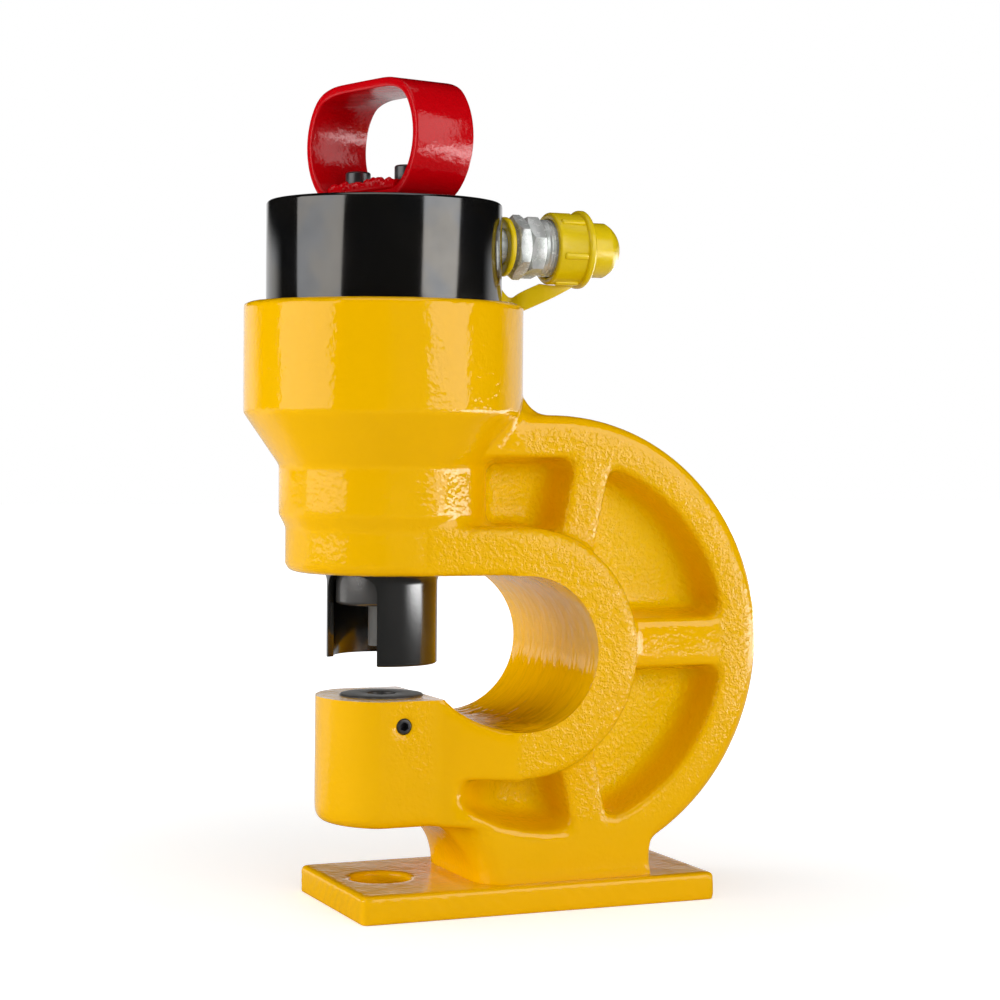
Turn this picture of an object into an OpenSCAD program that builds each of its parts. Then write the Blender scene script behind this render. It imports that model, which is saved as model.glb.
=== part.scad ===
// Hydraulic hole punch: a cast C frame on a plate foot, with a single acting
// spring return cylinder, punch, stripper and die on one upright axis.
// The punch axis is the Z axis, the underside of the foot is at Z = 0, and the
// back of the C lies towards +X. All sizes are in millimetres.

/* [Base plate] */
// Length of the base plate, front to back
base_l = 193; // [186:1:210]
// Width of the base plate
base_w = 98; // [92:1:112]
// Thickness of the base plate
base_t = 14; // [10:0.5:18]
// Reach of the base plate in front of the punch axis
base_front = 27; // [22:0.5:40]
// Radius of the base plate's upright corners
base_corner_r = 4; // [3:0.5:8]
// Chamfer round the base plate's top edge
base_edge = 1.5; // [0.5:0.25:2.5]
// Diameter of the slug hole through the base plate
slug_hole_d = 30; // [26:0.5:40]
// Thread diameter of the screws that hold the foot to the base plate
base_screw_d = 8; // [6:1:10]
// Length of the base plate screws
base_screw_l = 25; // [20:1:30]

/* [Frame] */
// Open height between the base plate and the die block
slug_gap = 29; // [22:0.5:34]
// Height of the die block
block_h = 63.5; // [56:0.5:72]
// Half width of the die block
block_r = 33.5; // [31:0.5:37]
// Distance from the punch axis to the front of the die block
block_front = 33.2; // [30:0.2:36]
// Radius of the die block's front
block_front_r = 37.5; // [37:0.5:44]
// Radius of the die block's lower edge
block_edge_r = 6; // [3:0.5:8]
// Straight length of the die block behind the punch axis
block_run = 18; // [14:0.5:24]
// Open height between the die block and the head
daylight = 62; // [56:0.5:70]
// Distance from the punch axis to the back of the throat
throat_depth = 95.5; // [88:0.5:104]
// Radius of the round back of the throat
throat_r = 38.8; // [36:0.1:41]
// Radius of the curve that rises from the throat to the die block
throat_ramp_r = 48; // [44:0.5:54]
// Width of the proud band round the throat
band_w = 24; // [20:0.5:28]
// Half thickness of the frame at the proud band
band_half_t = 53.5; // [48:0.5:56]
// Edge radius of the proud band
band_edge_r = 5; // [2:0.5:7]
// Radius of the frame's outer rim
rim_r = 115.5; // [110:0.5:118]
// Distance from the punch axis to the centre of the outer rim
rim_x = 78.3; // [74:0.1:84]
// Radial width of the outer rim
rim_w = 21; // [16:0.5:26]
// Half thickness of the frame at the outer rim
rim_half_t = 42; // [36:0.5:45]
// Edge radius of the outer rim
rim_edge_r = 7; // [3:0.5:9]
// Half thickness of the web at the floor of the pockets
web_half_t = 12; // [8:0.5:16]
// How far the pocket walls lean in from mouth to floor
pocket_lean = 4.5; // [3:0.5:9]
// Width of the two slanting ribs between the pockets
rib_w = 19; // [14:0.5:24]
// Width of the level rib between the pockets
level_rib_w = 24; // [18:0.5:32]
// Angle of the slanting ribs above and below level
rib_angle = 78; // [72:1:82]
// Distance from the punch axis to the front of the foot
foot_front_x = 35.5; // [30:0.5:38]
// Corner radius at the front of the foot
foot_corner_r = 14; // [8:0.5:18]
// Radius of the foot's hollow front
foot_hollow_r = 34; // [30:0.5:44]
// Distance from the punch axis to the back of the foot
foot_back_x = 132; // [124:0.5:140]

/* [Head] */
// Radius of the boss at the bottom of the head
boss_r = 48.8; // [47:0.1:50]
// Height of the boss
boss_h = 22.5; // [20:0.5:28]
// Edge radius of the boss
boss_edge_r = 4; // [2:0.5:6]
// Height of the cone between boss and neck
boss_cone_h = 6.5; // [4:0.5:10]
// Radius of the neck
neck_r = 52.2; // [51:0.1:56]
// Height of the neck
neck_h = 24.5; // [18:0.5:30]
// Height of the cone between neck and collar
collar_cone_h = 26; // [18:0.5:32]
// Radius of the collar
collar_r = 70; // [67:0.5:76]
// Radius of the hollow corner between the collar and the outer rim
collar_fillet_r = 17; // [8:0.5:20]
// Height of the collar
collar_h = 55.3; // [48:0.1:62]

/* [Cylinder] */
// Radius of the hydraulic cylinder
cyl_r = 59; // [56:0.5:62]
// Height of the cylinder above the collar
cyl_rise = 50; // [46:0.5:60]
// Radius of the cylinder bore
bore_r = 37.5; // [34:0.1:40]
// Thickness of the cylinder's closed end
cyl_end_t = 31.3; // [30:0.1:36]
// Depth of the coupler's axis below the cylinder's top
port_drop = 19.3; // [17:0.1:20]
// Radius of the threaded oil port
port_r = 8.3; // [7:0.1:9]
// Chamfer at the cylinder's top edge
cyl_edge = 1.2; // [0.5:0.1:2]

/* [Ram] */
// Thickness of the piston
piston_t = 25; // [22:0.5:28]
// Radius of the ram's rod
rod_r = 22; // [19:0.25:22.5]
// Radius of the threaded spigot at the rod's lower end
spigot_r = 14; // [11:0.5:16]
// Length of the threaded spigot
spigot_l = 15; // [12:0.5:17]
// Height of the bronze rod guide
guide_h = 25; // [20:0.5:27]
// Outer radius of the rod guide
guide_r = 27; // [25.5:0.25:29]
// Height of the rod wiper
wiper_h = 4; // [3:0.25:5]
// Wire diameter of the return spring
spring_wire = 7; // [5:0.5:7.5]
// Mean radius of the return spring
spring_r = 29.7; // [28:0.1:32]
// Turns of the return spring
spring_turns = 6; // [5:0.5:7]

/* [Tooling] */
// Height of the stripper below the head
stripper_h = 45.5; // [42:0.5:47]
// Outer radius of the stripper
stripper_r = 27.8; // [27.2:0.1:29]
// Wall of the stripper
stripper_wall = 3.4; // [2.6:0.1:3.8]
// Length of the stripper's thread in the head
stripper_thread_l = 16.5; // [14:0.5:19]
// Width of the window in the stripper
window_w = 32.4; // [22:0.2:34]
// Turn of the window about the punch axis, from the front
window_turn = 29; // [0:1:60]
// Corner radius of the window
window_r = 8; // [3:0.5:9]
// How much shorter the stripper is behind its window
stripper_step = 3; // [1:0.5:5]
// Radius of the punch holder
holder_r = 23.6; // [23:0.05:23.8]
// Height of the punch holder
holder_h = 32; // [28:0.5:33]
// How far the punch holder hangs below the head at rest
holder_drop = 16; // [12:0.5:17]
// Diameter of the punch, and so of the hole that it makes
punch_d = 13.8; // [8:0.1:17]
// How far the punch's tip rests above the stripper's mouth
punch_recess = 8.5; // [4:0.5:9]
// Gap all round between punch and die
die_gap = 0.3; // [0.2:0.05:0.6]
// Radius of the die
die_r = 21.2; // [20:0.1:25]
// Height of the die
die_h = 28; // [24:0.5:32]
// How far the die stands proud of its block
die_rise = 0.8; // [0.3:0.1:1.5]
// Radius of the slug passage under the die
passage_r = 17; // [14:0.5:18]
// Thread diameter of the die's set screw
set_screw_d = 8; // [6:0.5:10]
// Depth of the set screw's axis below the top of the die block
set_screw_drop = 12.5; // [10:0.5:15]

/* [Handle] */
// Length of the handle loop
handle_l = 98; // [90:0.5:104]
// Height of the handle loop
handle_h = 59.5; // [54:0.5:68]
// Width of the handle's strap
strap_w = 34.5; // [28:0.5:38]
// Thickness of the handle's strap
strap_t = 4.5; // [4:0.25:6]
// Bend radius of the handle's sides
handle_side_r = 34; // [32:0.5:38]
// Shift of the handle from the punch axis towards the coupler
handle_shift = 2; // [0:0.5:4]
// Turn of the handle about the punch axis
handle_turn = 14.6; // [0:0.2:20]
// Thread diameter of the handle screws
handle_screw_d = 8; // [6:1:10]
// Distance between the two handle screws
handle_screw_gap = 43; // [40:0.5:44]
// Shift of the handle screws from the punch axis towards the coupler
handle_screw_shift = -1.5; // [-4:0.5:4]
// Length of the doubled strap under the screws
handle_lap = 57.4; // [57.2:0.2:58]
// Half length of the handle's flat top
handle_top_half = 24; // [20:0.5:26]

/* [Coupler] */
// Width across the flats of the adaptor's hexagon
adaptor_af = 29; // [27:0.5:31]
// Length of the adaptor's hexagon
adaptor_hex_l = 6.5; // [4:0.5:8]
// Gap between the cylinder and the adaptor's hexagon
adaptor_gap = 9.5; // [8:0.1:11]
// Radius of the adaptor's plain neck
adaptor_neck_r = 9.2; // [8.6:0.1:10]
// Width across the flats of the coupler's hexagon
coupler_af = 28; // [26:0.5:30]
// Length of the coupler's hexagon
coupler_hex_l = 8.5; // [7.5:0.5:11]
// Radius over the coupler's thread
coupler_thread_r = 14.7; // [14.2:0.1:15.4]
// Length of the coupler's threaded sleeve
coupler_thread_l = 20.5; // [19.5:0.5:24]
// Radius of the coupler's socket
coupler_socket_r = 10; // [9:0.1:10.5]
// Radius of the valve poppet's stem
poppet_r = 4; // [3:0.1:4.5]

/* [Dust cap] */
// Radius of the dust cap's body
cap_r = 18.5; // [18:0.1:20]
// Radius of the dust cap's flange
cap_flange_r = 20.2; // [20:0.1:22]
// Thickness of the flange
cap_flange_t = 4; // [3:0.25:5]
// Radius of the dust cap's rounded nose
cap_nose_r = 14.2; // [12:0.1:15]
// Length of the nose beyond the flange
cap_nose_l = 20.3; // [18:0.1:24]
// Bare length of the coupler's sleeve in front of the dust cap
cap_setback = 5.5; // [4:0.25:8]
// Ribs round the dust cap
cap_ribs = 6; // [4:1:12]
// Outer radius of the tether's ring
tether_ring_r = 15.2; // [14:0.2:17]
// Thickness of the tether's ring
tether_ring_t = 3; // [2:0.25:4]
// Width of the tether's strap
tether_w = 10; // [7:0.25:10.5]
// Thickness of the tether's strap
tether_t = 2; // [1.5:0.1:2.6]

/* [Fits] */
// Gap round a piece that is seated, screwed or pressed into another
seat_gap = 0.05; // [0.03:0.01:0.08]
// Gap round a piece that slides in its guide
slide_gap = 0.08; // [0.05:0.01:0.1]
// Gap between faces that pass each other without guiding
clear_gap = 0.5; // [0.3:0.05:0.8]

/* [Hidden] */
$fn = 96;
tiny = 0.01;
reach = 400;
// Overlap and inset of a straight run where it enters a turned one
lap = 0.5;
lap_inset = 0.03;

// Levels of the frame and head, from the bench upwards
block_bottom_z = base_t + slug_gap;
block_top_z = block_bottom_z + block_h;
head_z = block_top_z + daylight;
boss_top_z = head_z + boss_h;
neck_z0 = boss_top_z + boss_cone_h;
neck_z1 = neck_z0 + neck_h;
collar_z0 = neck_z1 + collar_cone_h;
collar_z1 = collar_z0 + collar_h;
cyl_top_z = collar_z1 + cyl_rise;

// Centres and radii of the C
throat_x = throat_depth - throat_r;
throat_z = head_z - throat_r;
throat_floor_z = throat_z - throat_r;
band_r = throat_r + band_w;
rim_z = collar_z0 - rim_r;
rim_in_r = rim_r - rim_w;
arm_bottom_z = throat_floor_z - band_w;
flare_end_x = throat_x - 5;
// Leaning walls run on a little below the pockets' floor
sunk = 2;
sunk_y = web_half_t - sunk;
sunk_lean = pocket_lean * (rim_half_t - sunk_y) / (rim_half_t - web_half_t);
band_foot_y = rim_half_t - 4;
collar_fillet_y = rim_half_t - rim_edge_r - 3;
// How far the hollow corner bites into both of its walls
fillet_bite = 1.2;
foot_hollow_drop = 6;
foot_post_x = foot_front_x + foot_corner_r;
foot_half_t = rim_half_t - 0.4;
foot_post_y = foot_half_t - foot_corner_r;
foot_rise = slug_gap + 6;
// Front of the floor of the foot's pocket, lean of its lower wall and the rib behind it
foot_pocket_x = flare_end_x + 8;
foot_pocket_lean = 9.5;
foot_rib_x = rim_x + rim_in_r * cos(rib_angle);
// Start of the rim's turn, below the level
rim_from = -108;

// Levels inside the head and cylinder
seat_shoulder = 2;
cyl_seat_z = collar_z0 + seat_shoulder;
bore_top_z = cyl_top_z - cyl_end_t;
port_z = cyl_top_z - port_drop;
piston_top_z = bore_top_z - clear_gap;
piston_bottom_z = piston_top_z - piston_t;
stripper_top_z = head_z + stripper_thread_l;
wiper_z = stripper_top_z + 2;
guide_z = wiper_z + wiper_h;
chamber_floor_z = guide_z + guide_h;
chamber_r = bore_r + clear_gap;
stripper_thread_r = stripper_r + 3.2;
stripper_in_r = stripper_r - stripper_wall;
stripper_bottom_z = head_z - stripper_h;

// Levels of the punch and die
holder_z0 = head_z - holder_drop;
holder_z1 = holder_z0 + holder_h;
punch_r = punch_d / 2;
punch_tip_z = stripper_bottom_z + punch_recess;
die_top_z = block_top_z + die_rise;
die_z0 = die_top_z - die_h;
die_bore_r = punch_r + die_gap;
set_screw_z = block_top_z - set_screw_drop;

// Stations along the coupler's axis
adaptor_x0 = cyl_r + adaptor_gap;
coupler_x0 = adaptor_x0 + adaptor_hex_l;
sleeve_x0 = coupler_x0 + coupler_hex_l;
sleeve_x1 = sleeve_x0 + coupler_thread_l;
cap_x0 = sleeve_x0 + cap_setback;
cap_bore_x1 = sleeve_x1 + clear_gap;
cap_flange_x0 = cap_bore_x1 + 0.5;
cap_flange_x1 = cap_flange_x0 + cap_flange_t;
cap_bore_r = coupler_thread_r + clear_gap;
valve_x = sleeve_x0 + 3;
socket_setback = 12;
socket_x = sleeve_x0 + socket_setback;

// Helpers

// Extrudes a side profile, drawn as X and Z, evenly to both sides of the mid plane
module across(half) {
    rotate([90, 0, 0])
        linear_extrude(2 * half, center = true)
            children();
}

// Turns a profile, drawn as radius and Y, about a cross axis through X, Z
module turned_across(x, z, from = 0, sweep = 360) {
    translate([x, 0, z])
        rotate([90, 0, 0])
            rotate([0, 0, from])
                rotate_extrude(angle = sweep)
                    children();
}

// Lays an upright turned shape along the coupler's axis
module along_coupler(x) {
    translate([x, 0, port_z])
        rotate([0, 90, 0])
            children();
}

// Rectangle from x0 to x1 and evenly about X, with its outer corners rounded
module round_bar(x0, x1, half, r) {
    translate([x0, r - half])
        square([x1 - x0, 2 * (half - r)]);
    translate([x0, -half])
        square([x1 - x0 - r, 2 * half]);
    for (side = [-1, 1])
        translate([x1 - r, side * (half - r)])
            circle(r);
}

// Rectangle from x0 to x1 and evenly about X, with all four corners rounded
module round_band(x0, x1, half, r) {
    translate([x0, r - half])
        square([x1 - x0, 2 * (half - r)]);
    translate([x0 + r, -half])
        square([x1 - x0 - 2 * r, 2 * half]);
    for (side = [-1, 1], x = [x0 + r, x1 - r])
        translate([x, side * (half - r)])
            circle(r);
}

// Straight tube ring of square section
module ring(r_out, r_in, h) {
    difference() {
        cylinder(r = r_out, h = h);
        translate([0, 0, -1])
            cylinder(r = r_in, h = h + 2);
    }
}

// Hexagonal bar with chamfered ends, given its width across the flats
module hex_bar(af, l) {
    ac = af / cos(30);
    lead = (ac - af) / 2 * tan(30);
    intersection() {
        rotate([0, 0, 30])
            cylinder(d = ac, h = l, $fn = 6);
        rotate_extrude()
            polygon([[0, 0], [af / 2, 0], [ac / 2 + tiny, lead + tiny],
                     [ac / 2 + tiny, l - lead - tiny], [af / 2, l], [0, l]]);
    }
}

// Socket head cap screw standing on Z = 0 with its shank below
module cap_screw(d, l) {
    head_r = 0.8 * d;
    difference() {
        union() {
            cylinder(r = head_r, h = d);
            translate([0, 0, -l])
                cylinder(d = d - 2 * seat_gap, h = l + tiny);
        }
        translate([0, 0, d / 2])
            cylinder(d = 0.75 * d / cos(30), h = d, $fn = 6);
    }
}

// One unbroken coil of round wire about the Z axis
function coil_center(r, z0, z1, turns, i, n) =
    [r * cos(360 * turns * i / n), r * sin(360 * turns * i / n), z0 + (z1 - z0) * i / n];
module coil(r, wire, z0, z1, turns) {
    steps = 8;
    sides = 6;
    n = round(turns * steps);
    pts = [for (i = [0 : n], j = [0 : sides - 1])
        let (a = 360 * turns * i / n, b = 360 * j / sides)
        coil_center(r, z0, z1, turns, i, n)
            + wire / 2 * [cos(b) * cos(a), cos(b) * sin(a), sin(b)]];
    skin = [for (i = [0 : n - 1], j = [0 : sides - 1])
        let (p = i * sides + j, q = i * sides + (j + 1) % sides)
        each [[p, q, p + sides], [q, q + sides, p + sides]]];
    ends = [for (j = [1 : sides - 2])
        each [[0, j + 1, j], [n * sides, n * sides + j, n * sides + j + 1]]];
    polyhedron(pts, concat(skin, ends), convexity = 10);
}

// Frame casting

// Outside of the head: boss, neck and collar turned about the punch axis
module head_outside() {
    rotate_extrude()
        polygon([[0, head_z], [boss_r - boss_edge_r, head_z],
                 [boss_r - 0.3 * boss_edge_r, head_z + 0.3 * boss_edge_r],
                 [boss_r, head_z + boss_edge_r], [boss_r, boss_top_z], [neck_r, neck_z0],
                 [neck_r, neck_z1], [collar_r, collar_z0], [collar_r, collar_z1], [0, collar_z1]]);
}

// Hollow corner between the collar and the top of the outer rim
module collar_fillet() {
    intersection() {
        rotate_extrude()
            difference() {
                translate([collar_r - 4, collar_z0 - 3])
                    square([collar_fillet_r + 4, collar_fillet_r + 3 - fillet_bite]);
                translate([collar_r, collar_z0])
                    translate((collar_fillet_r - fillet_bite) * [1, 1])
                        circle(collar_fillet_r);
            }
        translate([0, -collar_fillet_y, 0])
            cube([reach, 2 * collar_fillet_y, reach]);
    }
}

// Proud band round the back of the throat, with its upper arm to the head
module throat_band() {
    inner = throat_r - band_edge_r - 1;
    turned_across(throat_x, throat_z, -90, 180)
        round_band(inner, band_r, band_half_t, band_edge_r);
    intersection() {
        translate([0, 0, throat_z])
            rotate([90, 0, 90])
                linear_extrude(throat_x + lap)
                    rotate(90)
                        round_band(inner, band_r - lap_inset, band_half_t, band_edge_r);
        linear_extrude(reach)
            polygon([[0, -boss_r], [throat_x + lap, lap_inset - band_half_t],
                     [throat_x + lap, band_half_t - lap_inset], [0, boss_r]]);
    }
    // Foot of the band, which leans out to the floor of the pockets
    turned_across(throat_x, throat_z, -90, 180)
        polygon([[throat_r + band_edge_r, -band_foot_y], [band_r - 1, -band_foot_y],
                 [band_r + pocket_lean / 2, -sunk_y], [band_r + pocket_lean / 2, sunk_y],
                 [band_r - 1, band_foot_y], [throat_r + band_edge_r, band_foot_y]]);
}

// Section of the outer rim, as radius and Y, with leaning inner walls, less a small inset
module rim_section(inset = 0) {
    half = rim_half_t - inset;
    inner = rim_in_r + inset;
    intersection() {
        round_bar(inner - 2 * pocket_lean, rim_r - inset, half, rim_edge_r);
        polygon([[inner, -half], [inner - sunk_lean, -sunk_y], [inner - sunk_lean, sunk_y],
                 [inner, half], [rim_r + 1, half], [rim_r + 1, -half]]);
    }
}

// Outer rim: a straight run out of the collar, then round to the foot
module outer_rim() {
    turned_across(rim_x, rim_z, rim_from, 90 - rim_from)
        rim_section();
    translate([0, 0, rim_z])
        rotate([90, 0, 90])
            linear_extrude(rim_x + lap)
                rotate(90)
                    rim_section(lap_inset);
}

// Rib of leaning walls from the middle of the rim towards the rim
module rib(angle, width) {
    translate([rim_x, 0, rim_z])
        rotate([0, -angle, 0])
            rotate([90, 0, 90])
                linear_extrude(rim_in_r + rim_w / 2)
                    polygon([[-rim_half_t, -width / 2], [-sunk_y, -width / 2 - sunk_lean],
                             [sunk_y, -width / 2 - sunk_lean], [rim_half_t, -width / 2],
                             [rim_half_t, width / 2], [sunk_y, width / 2 + sunk_lean],
                             [-sunk_y, width / 2 + sunk_lean], [-rim_half_t, width / 2]]);
}

// Web in the mid plane, inside the rim
module web() {
    across(web_half_t)
        intersection() {
            translate([rim_x, rim_z])
                circle(rim_in_r);
            translate([0, base_t])
                square([reach, reach]);
        }
}

// Plan of the jaw behind the punch axis: straight sides and a flare up to a half width
module jaw_plan(half) {
    run = (flare_end_x - block_run) * (half - block_r) / (band_half_t - block_r);
    side = block_r - lap_inset;
    polygon([[0, -side], [block_run, -side], [block_run + run, -half], [throat_x, -half],
             [throat_x, half], [block_run + run, half], [block_run, side], [0, side]]);
}

// Section of the die block to one side of its middle, with its lower edge rounded
module block_section(half) {
    difference() {
        square([half, block_h]);
        translate([half - block_edge_r, -tiny])
            square([block_edge_r + tiny, block_edge_r + tiny]);
    }
    translate([half - block_edge_r, block_edge_r])
        circle(block_edge_r);
}

// Die block: a straight bar with a front of a wider turn, which meets its sides in an edge
module die_block() {
    front_x = block_front_r - block_front;
    intersection() {
        translate([-block_front - 1, 0, block_bottom_z])
            rotate([90, 0, 90])
                linear_extrude(block_front + 1 + block_run)
                    for (side = [0, 1])
                        mirror([side, 0])
                            block_section(block_r);
        union() {
            translate([front_x, 0, block_bottom_z])
                rotate_extrude()
                    block_section(block_front_r);
            translate([front_x, -block_front_r, block_bottom_z])
                cube([reach, 2 * block_front_r, block_h]);
        }
    }
}

// Lower arm: from the band to the die block, under the ramp
module lower_arm() {
    translate([0, 0, arm_bottom_z])
        linear_extrude(block_top_z - arm_bottom_z)
            jaw_plan(band_half_t);
}

// Lower part of the foot, hollow at the front and with round corners in plan
module foot_lower() {
    intersection() {
        translate([0, 0, base_t])
            linear_extrude(foot_rise) {
                for (side = [-1, 1])
                    translate([foot_post_x, side * foot_post_y])
                        circle(foot_corner_r);
                translate([0, -foot_post_y])
                    square([foot_post_x, 2 * foot_post_y]);
                translate([foot_post_x, -foot_half_t])
                    square([foot_back_x - foot_post_x, 2 * foot_half_t]);
            }
        across(reach)
            difference() {
                translate([foot_front_x - 12, base_t - 1])
                    square([reach, foot_rise + 2]);
                translate([foot_front_x - foot_hollow_r, base_t + foot_hollow_drop])
                    circle(foot_hollow_r);
            }
    }
}

// Foot under the jaw and the rim, with the pocket's sloping front wall
module foot() {
    floor_y = web_half_t - 1;
    mouth_y = rim_half_t + 4;
    difference() {
        intersection() {
            translate([0, 0, base_t - 1])
                linear_extrude(arm_bottom_z + 3 - base_t) {
                    intersection() {
                        jaw_plan(rim_half_t);
                        translate([block_run - 1, -reach / 2])
                            square([reach, reach]);
                    }
                    translate([throat_x - tiny, -rim_half_t])
                        square([foot_back_x - throat_x + tiny, 2 * rim_half_t]);
                }
            union() {
                foot_lower();
                translate([0, -reach / 2, block_bottom_z])
                    cube([reach, reach, reach]);
            }
        }
        // Pockets before and behind the lower rib, the first with leaning walls
        for (side = [-1, 1]) {
            intersection() {
                turned_across(rim_x, rim_z)
                    polygon([[0, -side * floor_y], [rim_in_r - foot_pocket_lean, -side * floor_y],
                             [rim_in_r - lap, -side * rim_half_t], [rim_in_r - lap, -side * mouth_y],
                             [0, -side * mouth_y]]);
                linear_extrude(reach)
                    polygon([[foot_pocket_x, side * floor_y], [block_run - 2, side * mouth_y],
                             [foot_rib_x, side * mouth_y], [foot_rib_x, side * floor_y]]);
            }
            intersection() {
                across(reach)
                    translate([rim_x, rim_z])
                        circle(rim_in_r + rim_w / 2);
                linear_extrude(reach)
                    polygon([[foot_rib_x, side * floor_y], [foot_rib_x, side * mouth_y],
                             [reach, side * mouth_y], [reach, side * floor_y]]);
            }
        }
    }
}

// Opening of the throat, as a side profile
module throat_profile() {
    translate([throat_x, throat_z])
        circle(throat_r);
    intersection() {
        translate([throat_x, throat_floor_z + throat_ramp_r])
            circle(throat_ramp_r);
        translate([throat_x - reach, throat_floor_z])
            square([reach, head_z - throat_floor_z]);
    }
    translate([throat_x - reach, block_top_z])
        square([reach, daylight]);
}

// Bores of the head, die block and foot
module frame_bores() {
    translate([0, 0, cyl_seat_z])
        cylinder(r = cyl_r + seat_gap, h = reach);
    translate([0, 0, chamber_floor_z])
        cylinder(r = chamber_r, h = reach);
    translate([0, 0, wiper_z])
        cylinder(r = guide_r + seat_gap, h = reach);
    translate([0, 0, head_z - 1])
        cylinder(r = stripper_thread_r + seat_gap, h = wiper_z - head_z + 1);
    translate([0, 0, die_z0])
        cylinder(r = die_r + seat_gap, h = die_h + 1);
    translate([0, 0, block_bottom_z - 1])
        cylinder(r = passage_r, h = block_h);
    translate([0, -block_r - 1, set_screw_z])
        rotate([-90, 0, 0])
            cylinder(d = set_screw_d + 2 * slide_gap, h = block_r);
    for (p = base_screw_spots())
        translate([p[0], p[1], 0])
            cylinder(d = base_screw_d, h = base_screw_l + 3);
}

module c_frame() {
    color("goldenrod")
        difference() {
            union() {
                difference() {
                    union() {
                        web();
                        outer_rim();
                        for (a = [-rib_angle, rib_angle])
                            rib(a, rib_w);
                        rib(0, level_rib_w);
                    }
                    translate([-reach, -reach / 2, -reach / 2])
                        cube([reach, reach, reach]);
                    across(reach)
                        translate([throat_x, throat_z])
                            circle(band_r - 1);
                    translate([0, -reach / 2, 0])
                        cube([block_run + 6, reach, arm_bottom_z + 1]);
                }
                foot();
                throat_band();
                lower_arm();
                die_block();
                head_outside();
                collar_fillet();
            }
            across(reach)
                throat_profile();
            translate([-reach / 2, -reach / 2, base_t - reach])
                cube([reach, reach, reach]);
            frame_bores();
        }
}

// Base plate and its screws

function base_screw_spots() =
    [for (x = [foot_front_x + 24, foot_back_x - 20], y = [-0.55, 0.55]) [x, y * rim_half_t]];

module base_plate() {
    color("goldenrod")
        difference() {
            union() {
                for (x = [base_corner_r - base_front, base_l - base_front - base_corner_r],
                     side = [-1, 1])
                    translate([x, side * (base_w / 2 - base_corner_r), 0])
                        rotate_extrude()
                            polygon([[0, 0], [base_corner_r, 0], [base_corner_r, base_t - base_edge],
                                     [base_corner_r - base_edge, base_t], [0, base_t]]);
                translate([base_corner_r - base_front, 0, 0])
                    rotate([90, 0, 90])
                        linear_extrude(base_l - 2 * base_corner_r)
                            polygon([[-base_w / 2, 0], [base_w / 2, 0], [base_w / 2, base_t - base_edge],
                                     [base_w / 2 - base_edge, base_t], [base_edge - base_w / 2, base_t],
                                     [-base_w / 2, base_t - base_edge]]);
                translate([0, base_w / 2 - base_corner_r, 0])
                    rotate([90, 0, 0])
                        linear_extrude(base_w - 2 * base_corner_r)
                            translate([-base_front, 0])
                                polygon([[0, 0], [base_l, 0], [base_l, base_t - base_edge],
                                         [base_l - base_edge, base_t], [base_edge, base_t],
                                         [0, base_t - base_edge]]);
            }
            translate([0, 0, -1])
                cylinder(d = slug_hole_d, h = base_t + 2);
            for (p = base_screw_spots())
                translate([p[0], p[1], -1]) {
                    cylinder(d = base_screw_d + 1, h = base_t + 2);
                    cylinder(r = 0.8 * base_screw_d + clear_gap, h = base_screw_d + clear_gap + 1);
                }
        }
}

module base_screws() {
    color("dimgray")
        for (p = base_screw_spots())
            translate([p[0], p[1], base_screw_d + clear_gap])
                mirror([0, 0, 1])
                    cap_screw(base_screw_d, base_screw_l - base_screw_d);
}

// Cylinder, ram and spring

module cylinder_cup() {
    color("black")
        difference() {
            rotate_extrude()
                polygon([[0, cyl_seat_z], [cyl_r, cyl_seat_z], [cyl_r, cyl_top_z - cyl_edge],
                         [cyl_r - cyl_edge, cyl_top_z], [0, cyl_top_z]]);
            translate([0, 0, cyl_seat_z - 1])
                cylinder(r = bore_r, h = bore_top_z - cyl_seat_z + 1);
            along_coupler(cyl_r - 18)
                cylinder(r = port_r + seat_gap, h = 30);
            along_coupler(8)
                cylinder(r = 3.5, h = cyl_r);
            translate([12, 0, bore_top_z - 1])
                cylinder(r = 3, h = port_z - bore_top_z + 1);
            for (p = handle_screw_spots())
                translate([p[0], p[1], cyl_top_z - 2 * handle_screw_d])
                    cylinder(d = handle_screw_d, h = reach);
        }
}

piston_groove = 4.5;
seal_h = 6;
ring_h = 7;
seal_z = piston_top_z - 4 - seal_h;
ring_z = piston_bottom_z + 4;

module ram() {
    color("lightsteelblue")
        difference() {
            rotate_extrude()
                polygon([[0, holder_z1 - spigot_l], [spigot_r - 1, holder_z1 - spigot_l],
                         [spigot_r, holder_z1 - spigot_l + 1], [spigot_r, holder_z1],
                         [rod_r, holder_z1], [rod_r, piston_bottom_z],
                         [bore_r - slide_gap, piston_bottom_z], [bore_r - slide_gap, piston_top_z],
                         [0, piston_top_z]]);
            translate([0, 0, seal_z])
                ring(bore_r + 1, bore_r - piston_groove, seal_h);
            translate([0, 0, ring_z])
                ring(bore_r + 1, bore_r - piston_groove, ring_h);
        }
}

module piston_seal() {
    color("darkslategray")
        translate([0, 0, seal_z + seat_gap])
            ring(bore_r - slide_gap, bore_r - piston_groove + seat_gap, seal_h - 2 * seat_gap);
}

module piston_guide_ring() {
    color("saddlebrown")
        translate([0, 0, ring_z + seat_gap])
            ring(bore_r - slide_gap, bore_r - piston_groove + seat_gap, ring_h - 2 * seat_gap);
}

spring_z0 = chamber_floor_z + spring_wire / 2 + 0.3;
spring_z1 = piston_bottom_z - spring_wire / 2 - 0.3;
spring_n = round(8 * spring_turns);
spring_gap = min([for (i = [0 : spring_n - 8])
    norm(coil_center(spring_r, spring_z0, spring_z1, spring_turns, i + 8, spring_n)
        - coil_center(spring_r, spring_z0, spring_z1, spring_turns, i, spring_n))]) - spring_wire;
echo(least_gap_between_spring_turns = spring_gap);

module return_spring() {
    color("slategray")
        coil(spring_r, spring_wire, spring_z0, spring_z1, spring_turns);
}

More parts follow.
